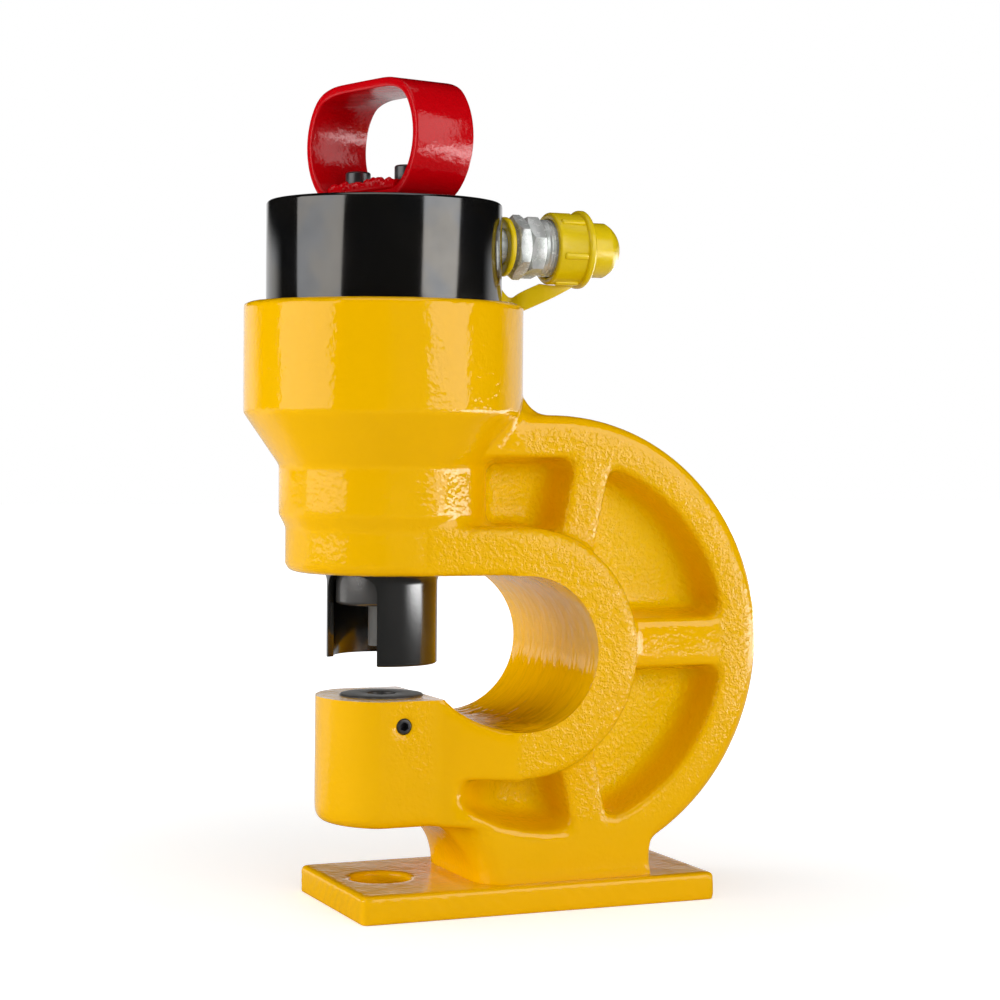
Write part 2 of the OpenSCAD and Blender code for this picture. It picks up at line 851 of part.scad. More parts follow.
module rod_guide() {
    color("peru")
        translate([0, 0, guide_z])
            ring(guide_r, rod_r + slide_gap, guide_h);
}

module rod_wiper() {
    color("darkolivegreen")
        translate([0, 0, wiper_z])
            ring(guide_r, rod_r + slide_gap, wiper_h);
}

// Stripper, punch and die

module stripper() {
    flare_h = 5.3;
    step_y = -8.5;
    window_top_z = head_z - 1;
    color("dimgray")
        difference() {
            rotate_extrude()
                polygon([[stripper_in_r, stripper_bottom_z], [stripper_r - 0.6, stripper_bottom_z],
                         [stripper_r, stripper_bottom_z + 0.6], [stripper_r, head_z - flare_h],
                         [stripper_thread_r, head_z], [stripper_thread_r, stripper_top_z],
                         [stripper_in_r, stripper_top_z]]);
            // Window open at the mouth, with a round topped outline
            rotate([0, 0, window_turn])
                rotate([90, 0, -90])
                    linear_extrude(2 * stripper_r) {
                        translate([-window_w / 2, stripper_bottom_z - 1])
                            square([window_w, window_top_z - window_r - stripper_bottom_z + 1]);
                        translate([window_r - window_w / 2, window_top_z - window_r - tiny])
                            square([window_w - 2 * window_r, window_r + tiny]);
                        for (side = [-1, 1])
                            translate([side * (window_w / 2 - window_r), window_top_z - window_r])
                                circle(window_r);
                    }
            // Shorter wall behind the window
            translate([-reach / 2, step_y, stripper_bottom_z - 1])
                cube([reach, reach, stripper_step + 1]);
        }
}

punch_head_h = 6;
punch_head_r = punch_r + 3;

module punch_holder() {
    lip = 8;
    color("silver")
        difference() {
            rotate_extrude()
                polygon([[0, holder_z0], [holder_r - 1.5, holder_z0], [holder_r, holder_z0 + 1.5],
                         [holder_r, holder_z1], [0, holder_z1]]);
            translate([0, 0, holder_z1 - spigot_l - seat_gap])
                cylinder(r = spigot_r + seat_gap, h = reach);
            translate([0, 0, holder_z0 + lip])
                cylinder(r = punch_head_r + seat_gap, h = holder_h);
            translate([0, 0, holder_z0 - 1])
                cylinder(r = punch_r + seat_gap, h = holder_h);
        }
}

module punch() {
    lip = 8;
    tip_cone = 1.6;
    color("lightgray")
        rotate_extrude()
            polygon([[0, punch_tip_z], [punch_r - 0.2, punch_tip_z + tip_cone],
                     [punch_r, punch_tip_z + tip_cone + 0.2], [punch_r, holder_z0 + lip + seat_gap],
                     [punch_head_r, holder_z0 + lip + seat_gap],
                     [punch_head_r, holder_z1 - spigot_l - seat_gap],
                     [0, holder_z1 - spigot_l - seat_gap]]);
}

module die() {
    land = 9;
    relief = 1.3;
    color("darkslategray")
        difference() {
            rotate_extrude()
                polygon([[0, die_z0], [die_r - 1, die_z0], [die_r, die_z0 + 1], [die_r, die_top_z - 0.5],
                         [die_r - 0.5, die_top_z], [0, die_top_z]]);
            translate([0, 0, die_z0 - 1])
                cylinder(r = die_bore_r, h = die_h + 2);
            translate([0, 0, die_z0 - 1])
                cylinder(r = die_bore_r + relief, h = die_h - land + 1);
        }
}

module die_set_screw() {
    screw_l = block_r - die_r - 2 * seat_gap - 0.8;
    color("black")
        translate([0, -die_r - seat_gap - clear_gap / 5, set_screw_z])
            rotate([90, 0, 0])
                difference() {
                    rotate_extrude()
                        polygon([[0, 0], [set_screw_d / 2 - 1, 0], [set_screw_d / 2, 1],
                                 [set_screw_d / 2, screw_l - 0.6], [set_screw_d / 2 - 0.6, screw_l],
                                 [0, screw_l]]);
                    translate([0, 0, screw_l / 2])
                        cylinder(d = set_screw_d / 2 / cos(30), h = screw_l, $fn = 6);
                }
}

// Handle

handle_side_x = handle_l / 2 - handle_side_r;

function handle_screw_spots() =
    [for (s = [-1, 1]) s * handle_screw_gap / 2 * [sin(handle_turn), -cos(handle_turn)]
        + handle_screw_shift * [cos(handle_turn), sin(handle_turn)]];

// Outline of the handle loop, inset by a wall, with level top and bottom and bent top corners
module handle_outline(inset) {
    belly_z = 0.51 * handle_h;
    bend = 14.4;
    top_x = handle_top_half - inset * tan(bend / 2);
    drop = (handle_l - top_x) * tan(bend);
    intersection() {
        union() {
            for (side = [-1, 1])
                translate([side * handle_side_x, belly_z])
                    circle(handle_side_r - inset);
            translate([-handle_side_x, belly_z - handle_side_r])
                square([2 * handle_side_x, 2 * handle_side_r]);
        }
        translate([0, handle_h - inset])
            polygon([[-top_x, 0], [top_x, 0], [handle_l, -drop], [handle_l, 2 * inset - handle_h],
                     [-handle_l, 2 * inset - handle_h], [-handle_l, -drop]]);
    }
}

module handle() {
    color("firebrick")
        difference() {
            translate([0, 0, cyl_top_z])
                rotate([0, 0, handle_turn - 90])
                    translate([0, handle_shift, 0])
                        rotate([90, 0, 0])
                            linear_extrude(strap_w, center = true) {
                                difference() {
                                    handle_outline(0);
                                    handle_outline(strap_t);
                                }
                                // Ends of the strap, one on the other
                                translate([-handle_lap / 2, strap_t / 2])
                                    square([handle_lap, 1.5 * strap_t]);
                            }
            for (p = handle_screw_spots())
                translate([p[0], p[1], cyl_top_z - 1])
                    cylinder(d = handle_screw_d + 1, h = 2 * strap_t + 2);
        }
}

module handle_screws() {
    color("black")
        for (p = handle_screw_spots())
            translate([p[0], p[1], cyl_top_z + 2 * strap_t])
                cap_screw(handle_screw_d, 2 * strap_t + 1.5 * handle_screw_d);
}

// Coupler

module port_adaptor() {
    thread_l = 15;
    color("silver")
        difference() {
            union() {
                along_coupler(cyl_r - thread_l)
                    cylinder(r = port_r, h = thread_l + 1);
                along_coupler(cyl_r + 0.3)
                    cylinder(r = adaptor_neck_r, h = adaptor_gap);
                along_coupler(adaptor_x0)
                    hex_bar(adaptor_af, adaptor_hex_l);
                along_coupler(coupler_x0 - tiny)
                    cylinder(r = port_r - 1, h = 3);
            }
            along_coupler(0)
                cylinder(r = 3.5, h = reach);
        }
}

module adaptor_seal() {
    color("dimgray")
        along_coupler(coupler_x0 + 3.2)
            ring(port_r - 1, 4.2, 1.6);
}

module coupler_body() {
    color("silver")
        difference() {
            union() {
                along_coupler(coupler_x0)
                    rotate([0, 0, 15])
                        hex_bar(coupler_af, coupler_hex_l);
                along_coupler(sleeve_x0 - tiny)
                    cylinder(r = coupler_thread_r, h = coupler_thread_l + tiny);
            }
            along_coupler(coupler_x0 - 1)
                cylinder(r = port_r - 1 + seat_gap, h = 6);
            along_coupler(coupler_x0)
                cylinder(r = valve_r + clear_gap, h = valve_x - coupler_x0 + 5);
            along_coupler(coupler_x0)
                cylinder(r = poppet_r + slide_gap, h = reach);
            along_coupler(socket_x)
                cylinder(r = coupler_socket_r, h = reach);
        }
}

module coupler_seal() {
    color("black")
        along_coupler(socket_x + seat_gap)
            ring(coupler_socket_r - seat_gap, poppet_r + 1.6, 2.4);
}

valve_r = poppet_r + 2;

module coupler_poppet() {
    color("lightgray")
        along_coupler(0)
            rotate_extrude()
                polygon([[0, valve_x], [valve_r, valve_x], [valve_r, valve_x + 3],
                         [poppet_r, valve_x + 4.9], [poppet_r, sleeve_x1 - 5],
                         [poppet_r - 1, sleeve_x1 - 4], [0, sleeve_x1 - 4]]);
}

module poppet_spring() {
    wire = 0.8;
    color("slategray")
        along_coupler(0)
            coil(poppet_r + 0.8, wire, coupler_x0 + 5.2 + wire / 2, valve_x - 0.3 - wire / 2, 2);
}

// Dust cap and tether

module dust_cap() {
    cap_rib_turn = 45;
    color("gold")
        difference() {
            union() {
                along_coupler(0)
                    rotate_extrude()
                        polygon([[0, cap_x0], [cap_r - 0.6, cap_x0], [cap_r, cap_x0 + 0.8],
                                 [cap_r - 0.5, cap_flange_x0], [cap_flange_r - 1, cap_flange_x0],
                                 [cap_flange_r, cap_flange_x0 + 1], [cap_flange_r, cap_flange_x1 - 1],
                                 [cap_flange_r - 1, cap_flange_x1], [cap_nose_r, cap_flange_x1],
                                 [0, cap_flange_x1]]);
                along_coupler(cap_flange_x1 - tiny)
                    intersection() {
                        cylinder(r = cap_nose_r, h = cap_nose_l);
                        translate([0, 0, cap_nose_l - cap_nose_r - 1.5])
                            sphere(r = cap_nose_r + 1.5);
                    }
                for (i = [0 : cap_ribs - 1])
                    along_coupler(cap_x0 + 3)
                        rotate([0, 0, cap_rib_turn + 360 * i / cap_ribs])
                            translate([cap_r - 1.4, 0, 0])
                                cylinder(r = 1.9, h = cap_flange_x0 - cap_x0 - 2);
            }
            along_coupler(cap_x0 - 1)
                cylinder(r = cap_bore_r, h = cap_bore_x1 - cap_x0 + 1);
            along_coupler(cap_bore_x1 - tiny)
                cylinder(r = cap_nose_r - 3, h = cap_nose_l - cap_nose_r / 2);
        }
}

// Middle line of the tether from its ring round to the dust cap, from the coupler's axis
tether_x = cyl_r + (adaptor_gap - tether_ring_t) / 2 + 1;
tether_mid = tether_x + tether_ring_t / 2;
tether_path = [for (p = [[0, 8.5, -11], [0.3, 11.5, -15], [2, 15.6, -19.3], [5, 18, -24.2],
                         [8, 17.3, -28], [11, 14.3, -28.9], [14, 11, -27.8], [18, 8, -25.6],
                         [23, 5, -23], [28, 2.3, -20.3], [33, 0.4, -17.4], [37.5, 0, -14.8]])
    p + [tether_mid, 0, port_z]];
// Way that the strap's width points at each of those places
tether_wide = [[0, 0.8, 0.6], [0.2, 0.85, 0.5], [0.5, 0.8, 0.5], [0.7, 0.5, 0.6], [0.7, 0.3, 0.7],
               [0.5, 0.3, 0.8], [0.2, 0.2, 1], [0, 0, 1], [0, 0, 1], [0, 0, 1], [0, 0, 1], [0, 0, 1]];

// Strip of even section swept along a path, with its width turned as given
module strip(path, wide, w, t) {
    n = len(path) - 1;
    along = [for (i = [0 : n])
        let (d = path[min(n, i + 1)] - path[max(0, i - 1)]) d / norm(d)];
    across_way = [for (i = [0 : n])
        let (v = wide[i] - (wide[i] * along[i]) * along[i]) v / norm(v)];
    thick = [for (i = [0 : n]) cross(along[i], across_way[i])];
    corners = [[-1, -1], [1, -1], [1, 1], [-1, 1]];
    pts = [for (i = [0 : n], c = corners)
        path[i] + c[0] * w / 2 * across_way[i] + c[1] * t / 2 * thick[i]];
    skin = [for (i = [0 : n - 1], j = [0 : 3])
        let (p = 4 * i + j, q = 4 * i + (j + 1) % 4)
        each [[p, p + 4, q], [q, p + 4, q + 4]]];
    ends = [[0, 1, 2], [0, 2, 3], [4 * n, 4 * n + 2, 4 * n + 1], [4 * n, 4 * n + 3, 4 * n + 2]];
    polyhedron(pts, concat(skin, ends), convexity = 6);
}

module cap_tether() {
    color("gold")
        difference() {
            union() {
                along_coupler(tether_x)
                    cylinder(r = tether_ring_r, h = tether_ring_t);
                strip(tether_path, tether_wide, tether_w, tether_t);
            }
            along_coupler(tether_x - 1)
                cylinder(r = adaptor_neck_r + 0.3, h = tether_ring_t + 2);
            along_coupler(cap_x0 - 2)
                cylinder(r = cap_r + 0.3, h = reach);
        }
}

c_frame();
base_plate();
base_screws();
cylinder_cup();  // cylinder
handle();
handle_screws();
ram();
piston_seal();
piston_guide_ring();
return_spring();
rod_guide();
rod_wiper();
stripper();
punch_holder();
punch();
die();
die_set_screw();
port_adaptor();
adaptor_seal();
coupler_body();
coupler_poppet();
poppet_spring();
coupler_seal();
dust_cap();
cap_tether();
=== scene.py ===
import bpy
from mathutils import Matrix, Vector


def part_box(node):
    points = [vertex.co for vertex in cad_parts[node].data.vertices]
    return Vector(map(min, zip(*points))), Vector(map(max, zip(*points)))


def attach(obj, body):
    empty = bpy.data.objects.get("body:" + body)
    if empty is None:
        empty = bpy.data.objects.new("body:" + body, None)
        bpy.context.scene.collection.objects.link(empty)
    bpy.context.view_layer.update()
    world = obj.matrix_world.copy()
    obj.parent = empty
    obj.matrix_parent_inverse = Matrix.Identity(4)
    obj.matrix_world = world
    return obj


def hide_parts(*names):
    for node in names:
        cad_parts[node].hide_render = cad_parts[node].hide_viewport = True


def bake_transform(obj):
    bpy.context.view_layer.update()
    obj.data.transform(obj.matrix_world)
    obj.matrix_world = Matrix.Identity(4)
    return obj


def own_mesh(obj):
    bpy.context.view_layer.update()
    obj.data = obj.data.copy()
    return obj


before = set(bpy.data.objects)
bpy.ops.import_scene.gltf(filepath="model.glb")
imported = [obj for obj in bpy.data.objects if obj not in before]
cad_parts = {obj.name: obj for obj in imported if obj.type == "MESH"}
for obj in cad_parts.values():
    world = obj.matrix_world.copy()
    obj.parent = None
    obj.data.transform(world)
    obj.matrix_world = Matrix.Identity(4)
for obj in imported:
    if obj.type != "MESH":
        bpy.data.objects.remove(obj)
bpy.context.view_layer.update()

import math
import random

import bmesh
import bpy
from bpy.props import FloatProperty, FloatVectorProperty, IntProperty, PointerProperty
from mathutils import Matrix, Vector

bl_info = {
    "name": "Hydraulic hole punch looks",
    "version": (1, 0, 0),
    "blender": (4, 5, 0),
    "location": "View3D > Sidebar > Hole punch",
    "description": "Builds the visible skin of a hydraulic hole punch round its CAD frame",
    "category": "Object",
}

MM = 0.001

# Levels and radii of the machine, in millimetres
BASE_TOP = 14.0
BLOCK_TOP = 106.5
BLOCK_BOTTOM = 41.5
FOOT_TOE = 4.5
FOOT_LEAN = 9.0
HEAD_Z = 168.5
BOSS_R = 48.8
BOSS_TOP = 191.0
NECK_R = 52.2
NECK_Z = 197.5
NECK_TOP = 222.0
COLLAR_R = 70.0
COLLAR_Z = 248.0
COLLAR_SEAT = 250.0
COLLAR_TOP = 303.3
CYL_TOP = 353.3
CYL_R = 59.0
CYL_BORE_R = 37.5
CYL_BORE_TOP = 322.0
PORT_Z = 334.0
STRIPPER_R = 27.8
STRIPPER_IN_R = 24.4
STRIPPER_THREAD_R = 31.0
STRIPPER_Z = 123.0
STRIPPER_TOP = 185.0
STRIPPER_STEP = 3.0
DIE_R = 21.2
DIE_TOP = 107.3
DIE_Z = 79.3
SET_SCREW_Z = 94.0
HANDLE_TURN = 14.6
HANDLE_SHIFT = 2.0
STRAP_T = 4.5
STRAP_W = 34.5
HANDLE_H = 59.5
HANDLE_L = 98.0
HANDLE_SIDE_R = 34.0
HANDLE_TOP_HALF = 24.0
HANDLE_LAP = 57.4
SCREW_GAP = 43.0
SCREW_SHIFT = -1.5
ADAPTOR_X = 68.5
COUPLER_X = 75.0
SLEEVE_X = 83.5
SLEEVE_END = 104.0
CAP_X = 89.0
CAP_FLANGE_X = 105.0
CAP_FLANGE_END = 109.0
CAP_TIP = 129.3
TETHER_X = 63.25
THROAT_X = 56.7
THROAT_Z = 129.7
THROAT_R = 38.8
THROAT_RAMP_R = 48.0
BAND_HALF_T = 53.5
RIM_X = 78.3
RIM_Z = 132.5
RIM_R = 115.5

NODE_SLOT = {
    "c_frame": "frame_enamel", "base_plate": "base_enamel", "base_screws": "black_steel",
    "cylinder": "cylinder_black", "handle": "handle_red", "handle_screws": "black_steel",
    "ram": "ground_steel", "piston_seal": "seal_rubber", "piston_guide_ring": "guide_plastic",
    "return_spring": "spring_steel", "rod_guide": "bronze", "rod_wiper": "seal_rubber",
    "stripper": "stripper_black", "punch_holder": "holder_steel", "punch": "tool_steel",
    "die": "die_steel", "die_set_screw": "black_steel", "port_adaptor": "zinc_steel",
    "adaptor_seal": "seal_rubber", "coupler_body": "zinc_steel", "coupler_poppet": "ground_steel",
    "poppet_spring": "spring_steel", "coupler_seal": "seal_rubber", "dust_cap": "cap_yellow",
    "cap_tether": "cap_yellow",
}
NODE_BODY = {
    "ram": "ram_body", "piston_seal": "ram_body", "piston_guide_ring": "ram_body",
    "punch_holder": "ram_body", "punch": "ram_body", "die_set_screw": "set_screw_body",
    "coupler_poppet": "poppet_body", "dust_cap": "cap_body",
}


class PunchLooks(bpy.types.PropertyGroup):
    """Sizes and colours that the operators read."""

    enamel: FloatVectorProperty(
        name="Enamel", description="Colour of the frame's and the base plate's paint",
        subtype="COLOR", size=3, min=0, max=1, default=(0.85, 0.45, 0.0))
    handle_paint: FloatVectorProperty(
        name="Handle paint", description="Colour of the handle's paint",
        subtype="COLOR", size=3, min=0, max=1, default=(0.52, 0.0, 0.003))
    cap_plastic: FloatVectorProperty(
        name="Cap plastic", description="Colour of the dust cap and its tether",
        subtype="COLOR", size=3, min=0, max=1, default=(0.75, 0.54, 0.0))
    cell: FloatProperty(
        name="Casting cell", description="Cell that the casting's skin is rebuilt with",
        unit="LENGTH", min=0.001, max=0.005, default=0.00165)
    fillet: FloatProperty(
        name="Casting fillet", description="Radius that fills the casting's inner corners",
        unit="LENGTH", min=0.0, max=0.006, default=0.0024)
    skin_depth: FloatProperty(
        name="Skin depth", description="Depth that the cast skin's waves and pebbles are measured in",
        unit="LENGTH", min=0.0, max=0.003, default=0.001)
    bead_r: FloatProperty(
        name="Foot bead", description="Radius of the bead where the foot meets the base plate",
        unit="LENGTH", min=0.001, max=0.006, default=0.0013)
    strap_edge: FloatProperty(
        name="Strap edge", description="Rounding of the handle strap's edges",
        unit="LENGTH", min=0.0002, max=0.002, default=0.0011)
    thread_pitch: FloatProperty(
        name="Coupler thread", description="Pitch of the coupler sleeve's thread",
        unit="LENGTH", min=0.001, max=0.004, default=0.0018)
    cap_ribs: IntProperty(
        name="Cap ribs", description="Grip ribs round the dust cap", min=4, max=12, default=6)
    steps: IntProperty(
        name="Steps", description="Steps round a turned piece", min=24, max=256, default=128)


# Materials

def new_group(name, inputs, outputs):
    """A node group with the given sockets, and its input and output nodes."""
    tree = bpy.data.node_groups.new(name, "ShaderNodeTree")
    for title, kind, default in inputs:
        socket = tree.interface.new_socket(title, in_out="INPUT", socket_type=kind)
        if default is not None:
            socket.default_value = default
    for title, kind in outputs:
        tree.interface.new_socket(title, in_out="OUTPUT", socket_type=kind)
    return tree, tree.nodes.new("NodeGroupInput"), tree.nodes.new("NodeGroupOutput")


def add(tree, kind, **settings):
    """A new node with its properties and unlinked inputs set."""
    node = tree.nodes.new(kind)
    for key, value in settings.items():
        if key.startswith("in_"):
            node.inputs[int(key[3:])].default_value = value
        else:
            setattr(node, key, value)
    return node


def math_node(tree, operation, a, b=None, c=None, clamp=False):
    """A Math node fed by sockets or numbers; gives its output socket."""
    node = add(tree, "ShaderNodeMath", operation=operation, use_clamp=clamp)
    for i, value in enumerate((a, b, c)):
        if value is None:
            continue
        if isinstance(value, (int, float)):
            node.inputs[i].default_value = value
        else:
            tree.links.new(value, node.inputs[i])
    return node.outputs[0]


def ramp(tree, value, low, high, to_low, to_high):
    """A smooth Map Range; gives its output socket."""
    node = add(tree, "ShaderNodeMapRange", interpolation_type="SMOOTHSTEP")
    tree.links.new(value, node.inputs["Value"])
    for title, number in (("From Min", low), ("From Max", high), ("To Min", to_low), ("To Max", to_high)):
        node.inputs[title].default_value = number
    return node.outputs["Result"]


def noise(tree, vector, scale, detail=2.0, rough=0.5):
    node = add(tree, "ShaderNodeTexNoise")
    node.inputs["Scale"].default_value = scale
    node.inputs["Detail"].default_value = detail
    node.inputs["Roughness"].default_value = rough
    tree.links.new(vector, node.inputs["Vector"])
    return node.outputs["Fac"]


def between(tree, value, low, high, soft):
    """1 where a value lies between two limits, eased over a soft width."""
    return math_node(tree, "MULTIPLY", ramp(tree, value, low - soft, low + soft, 0.0, 1.0),
                     ramp(tree, value, high - soft, high + soft, 1.0, 0.0))


def distance(tree, x, z, at_x, at_z):
    """Distance from a cross axis through X, Z; gives the two offsets too."""
    dx = math_node(tree, "SUBTRACT", x, at_x)
    dz = math_node(tree, "SUBTRACT", z, at_z)
    square = math_node(tree, "MULTIPLY_ADD", dx, dx, math_node(tree, "MULTIPLY", dz, dz))
    return math_node(tree, "SQRT", square), dx, dz


def cast_skin_group():
    """Pebbled sand-cast skin under thick paint: calmer where the casting was dressed or turned; painted light
    makes its colour lighter and less orange in the pocket recesses.
    """
    tree, given, out = new_group(
        "Cast skin",
        [("Vector", "NodeSocketVector", None), ("Colour", "NodeSocketColor", (0.5, 0.5, 0.5, 1))],
        [("Height", "NodeSocketFloat"), ("Colour", "NodeSocketColor")])
    place = given.outputs["Vector"]
    parts = add(tree, "ShaderNodeSeparateXYZ")
    tree.links.new(place, parts.inputs[0])
    x, y, z = parts.outputs
    depth = math_node(tree, "ABSOLUTE", y)
    reach, dx, dz = distance(tree, x, z, THROAT_X, THROAT_Z)
    wheel = distance(tree, x, z, RIM_X, RIM_Z)[0]
    radius = distance(tree, x, y, 0.0, 0.0)[0]

    pebbles = ramp(tree, noise(tree, place, 0.42, 2.0, 0.5), 0.38, 0.64, 0.0, 1.0)
    peel = noise(tree, place, 0.36, 1.5, 0.5)
    swell = noise(tree, place, 0.05, 1.0, 0.5)

    turned_head = math_node(tree, "MULTIPLY", ramp(tree, radius, 71.5, 76.0, 1.0, 0.0),
                            ramp(tree, z, 189.0, 196.0, 0.0, 1.0))
    beside_web = math_node(tree, "MAXIMUM", ramp(tree, depth, 15.5, 18.5, 0.0, 1.0),
                           ramp(tree, x, 45.0, 48.0, 1.0, 0.0))
    turned_head = math_node(tree, "MULTIPLY", turned_head, beside_web)
    boss_front = math_node(tree, "MULTIPLY", between(tree, z, 160.0, 193.0, 3.0),
                           ramp(tree, x, -12.0, 34.0, 1.0, 0.0))
    flare = math_node(tree, "MULTIPLY", between(tree, x, 13.0, 52.0, 4.0), between(tree, z, 40.0, 112.0, 4.0))
    foot = math_node(tree, "MULTIPLY", ramp(tree, z, 40.0, 50.0, 1.0, 0.0),
                     math_node(tree, "MULTIPLY", ramp(tree, depth, 22.0, 32.0, 0.0, 1.0),
                               ramp(tree, x, 40.0, 46.0, 0.0, 1.0)))
    spoke = math_node(tree, "MULTIPLY", between(tree, z, 114.0, 148.0, 3.0),
                      math_node(tree, "MULTIPLY", ramp(tree, reach, 63.0, 67.0, 0.0, 1.0),
                                ramp(tree, wheel, 90.0, 95.0, 1.0, 0.0)))
    low_rim = math_node(tree, "MULTIPLY", ramp(tree, z, 70.0, 120.0, 0.8, 0.0),
                        ramp(tree, wheel, 92.0, 96.0, 0.0, 1.0))
    front = math_node(tree, "MULTIPLY", ramp(tree, x, -14.0, 12.0, 0.97, 0.0),
                      ramp(tree, z, 104.0, 112.0, 1.0, 0.0))
    wall = math_node(tree, "MULTIPLY", between(tree, depth, 15.5, 38.0, 2.0), 0.6)
    calm = turned_head
    outer = ramp(tree, wheel, RIM_R - 8.0, RIM_R - 5.0, 0.0, 0.9)
    for zone in (boss_front, flare, foot, spoke, low_rim, front, wall, outer):
        calm = math_node(tree, "MAXIMUM", calm, zone)
    rough = math_node(tree, "MULTIPLY_ADD", calm, -0.97, 1.0)

    bore = math_node(tree, "MULTIPLY", ramp(tree, reach, THROAT_R + 0.2, THROAT_R + 0.9, 1.0, 0.0),
                     ramp(tree, depth, BAND_HALF_T - 1.2, BAND_HALF_T - 0.4, 1.0, 0.0))
    sweep = math_node(tree, "ARCTAN2", dz, dx)
    streak_at = add(tree, "ShaderNodeCombineXYZ")
    tree.links.new(math_node(tree, "MULTIPLY", sweep, 2.4), streak_at.inputs[0])
    tree.links.new(math_node(tree, "MULTIPLY", y, 0.15), streak_at.inputs[1])
    streaks = noise(tree, streak_at.outputs[0], 1.0, 2.0, 0.5)

    cast = math_node(tree, "MULTIPLY", math_node(tree, "MULTIPLY", pebbles, 0.28), rough)
    cast = math_node(tree, "MULTIPLY_ADD", peel, 0.17, cast)
    cast = math_node(tree, "MULTIPLY_ADD", swell, 0.45, cast)
    kept = math_node(tree, "MULTIPLY", cast, math_node(tree, "SUBTRACT", 1.0, bore))
    streaked = math_node(tree, "MULTIPLY", math_node(tree, "MULTIPLY", streaks, 0.9), bore)
    tree.links.new(math_node(tree, "ADD", kept, streaked), out.inputs["Height"])

    # Painted light: a lighter, less orange yellow is painted into the pocket recesses, standing in for the
    # light that the deep pockets miss.
    inside = math_node(tree, "MULTIPLY", ramp(tree, reach, 56.0, 62.0, 0.0, 1.0),
                       ramp(tree, wheel, 92.0, 96.0, 1.0, 0.0))
    pocket_light_mask = math_node(tree, "MULTIPLY", ramp(tree, depth, 15.0, 28.0, 1.0, 0.0), inside)
    painted_pocket_light = add(tree, "ShaderNodeMix", data_type="RGBA")
    painted_pocket_light.inputs[7].default_value = (0.88, 0.56, 0.0, 1)
    tree.links.new(pocket_light_mask, painted_pocket_light.inputs["Factor"])
    tree.links.new(given.outputs["Colour"], painted_pocket_light.inputs[6])
    tree.links.new(painted_pocket_light.outputs[2], out.inputs["Colour"])
    return tree


def drift_group():
    """Slow change of tone and gloss over a surface."""
    tree, given, out = new_group(
        "Surface drift",
        [("Vector", "NodeSocketVector", None), ("Scale", "NodeSocketFloat", 0.02),
         ("Colour", "NodeSocketColor", (0.5, 0.5, 0.5, 1)), ("Tone", "NodeSocketFloat", 0.08),
         ("Gloss", "NodeSocketFloat", 0.3), ("Gloss change", "NodeSocketFloat", 0.05),
         ("Other colour", "NodeSocketColor", (0.5, 0.5, 0.5, 1))],
        [("Colour", "NodeSocketColor"), ("Roughness", "NodeSocketFloat")])
    scaled = add(tree, "ShaderNodeVectorMath", operation="SCALE")
    tree.links.new(given.outputs["Vector"], scaled.inputs[0])
    tree.links.new(given.outputs["Scale"], scaled.inputs["Scale"])
    cloud = noise(tree, scaled.outputs[0], 1.0, 3.0, 0.55)
    centred = math_node(tree, "SUBTRACT", cloud, 0.5)
    value = math_node(tree, "MULTIPLY_ADD", centred, given.outputs["Tone"], 1.0)
    shade = add(tree, "ShaderNodeHueSaturation")
    tree.links.new(value, shade.inputs["Value"])
    shift = add(tree, "ShaderNodeVectorMath", operation="ADD", in_1=(17.3, 5.1, 9.7))
    tree.links.new(scaled.outputs[0], shift.inputs[0])
    blend = add(tree, "ShaderNodeMix", data_type="RGBA")
    patches = ramp(tree, noise(tree, shift.outputs[0], 0.7, 2.0, 0.5), 0.38, 0.62, 0.0, 1.0)
    tree.links.new(patches, blend.inputs["Factor"])
    tree.links.new(given.outputs["Colour"], blend.inputs[6])
    tree.links.new(given.outputs["Other colour"], blend.inputs[7])
    tree.links.new(blend.outputs[2], shade.inputs["Color"])
    tree.links.new(shade.outputs[0], out.inputs["Colour"])
    gloss = math_node(tree, "MULTIPLY_ADD", centred, given.outputs["Gloss change"], given.outputs["Gloss"],
                      clamp=True)
    tree.links.new(gloss, out.inputs["Roughness"])
    return tree


def grain_group():
    """Fine turning lines round an axis, or an even fine grain where stretch is 1 each way."""
    tree, given, out = new_group(
        "Tool grain",
        [("Vector", "NodeSocketVector", None), ("Stretch", "NodeSocketVector", (1, 1, 1)),
         ("Fineness", "NodeSocketFloat", 2.0)],
        [("Height", "NodeSocketFloat")])
    stretched = add(tree, "ShaderNodeVectorMath", operation="MULTIPLY")
    tree.links.new(given.outputs["Vector"], stretched.inputs[0])
    tree.links.new(given.outputs["Stretch"], stretched.inputs[1])
    scaled = add(tree, "ShaderNodeVectorMath", operation="SCALE")
    tree.links.new(stretched.outputs[0], scaled.inputs[0])
    tree.links.new(given.outputs["Fineness"], scaled.inputs["Scale"])
    tree.links.new(noise(tree, scaled.outputs[0], 1.0, 3.0, 0.6), out.inputs["Height"])
    return tree


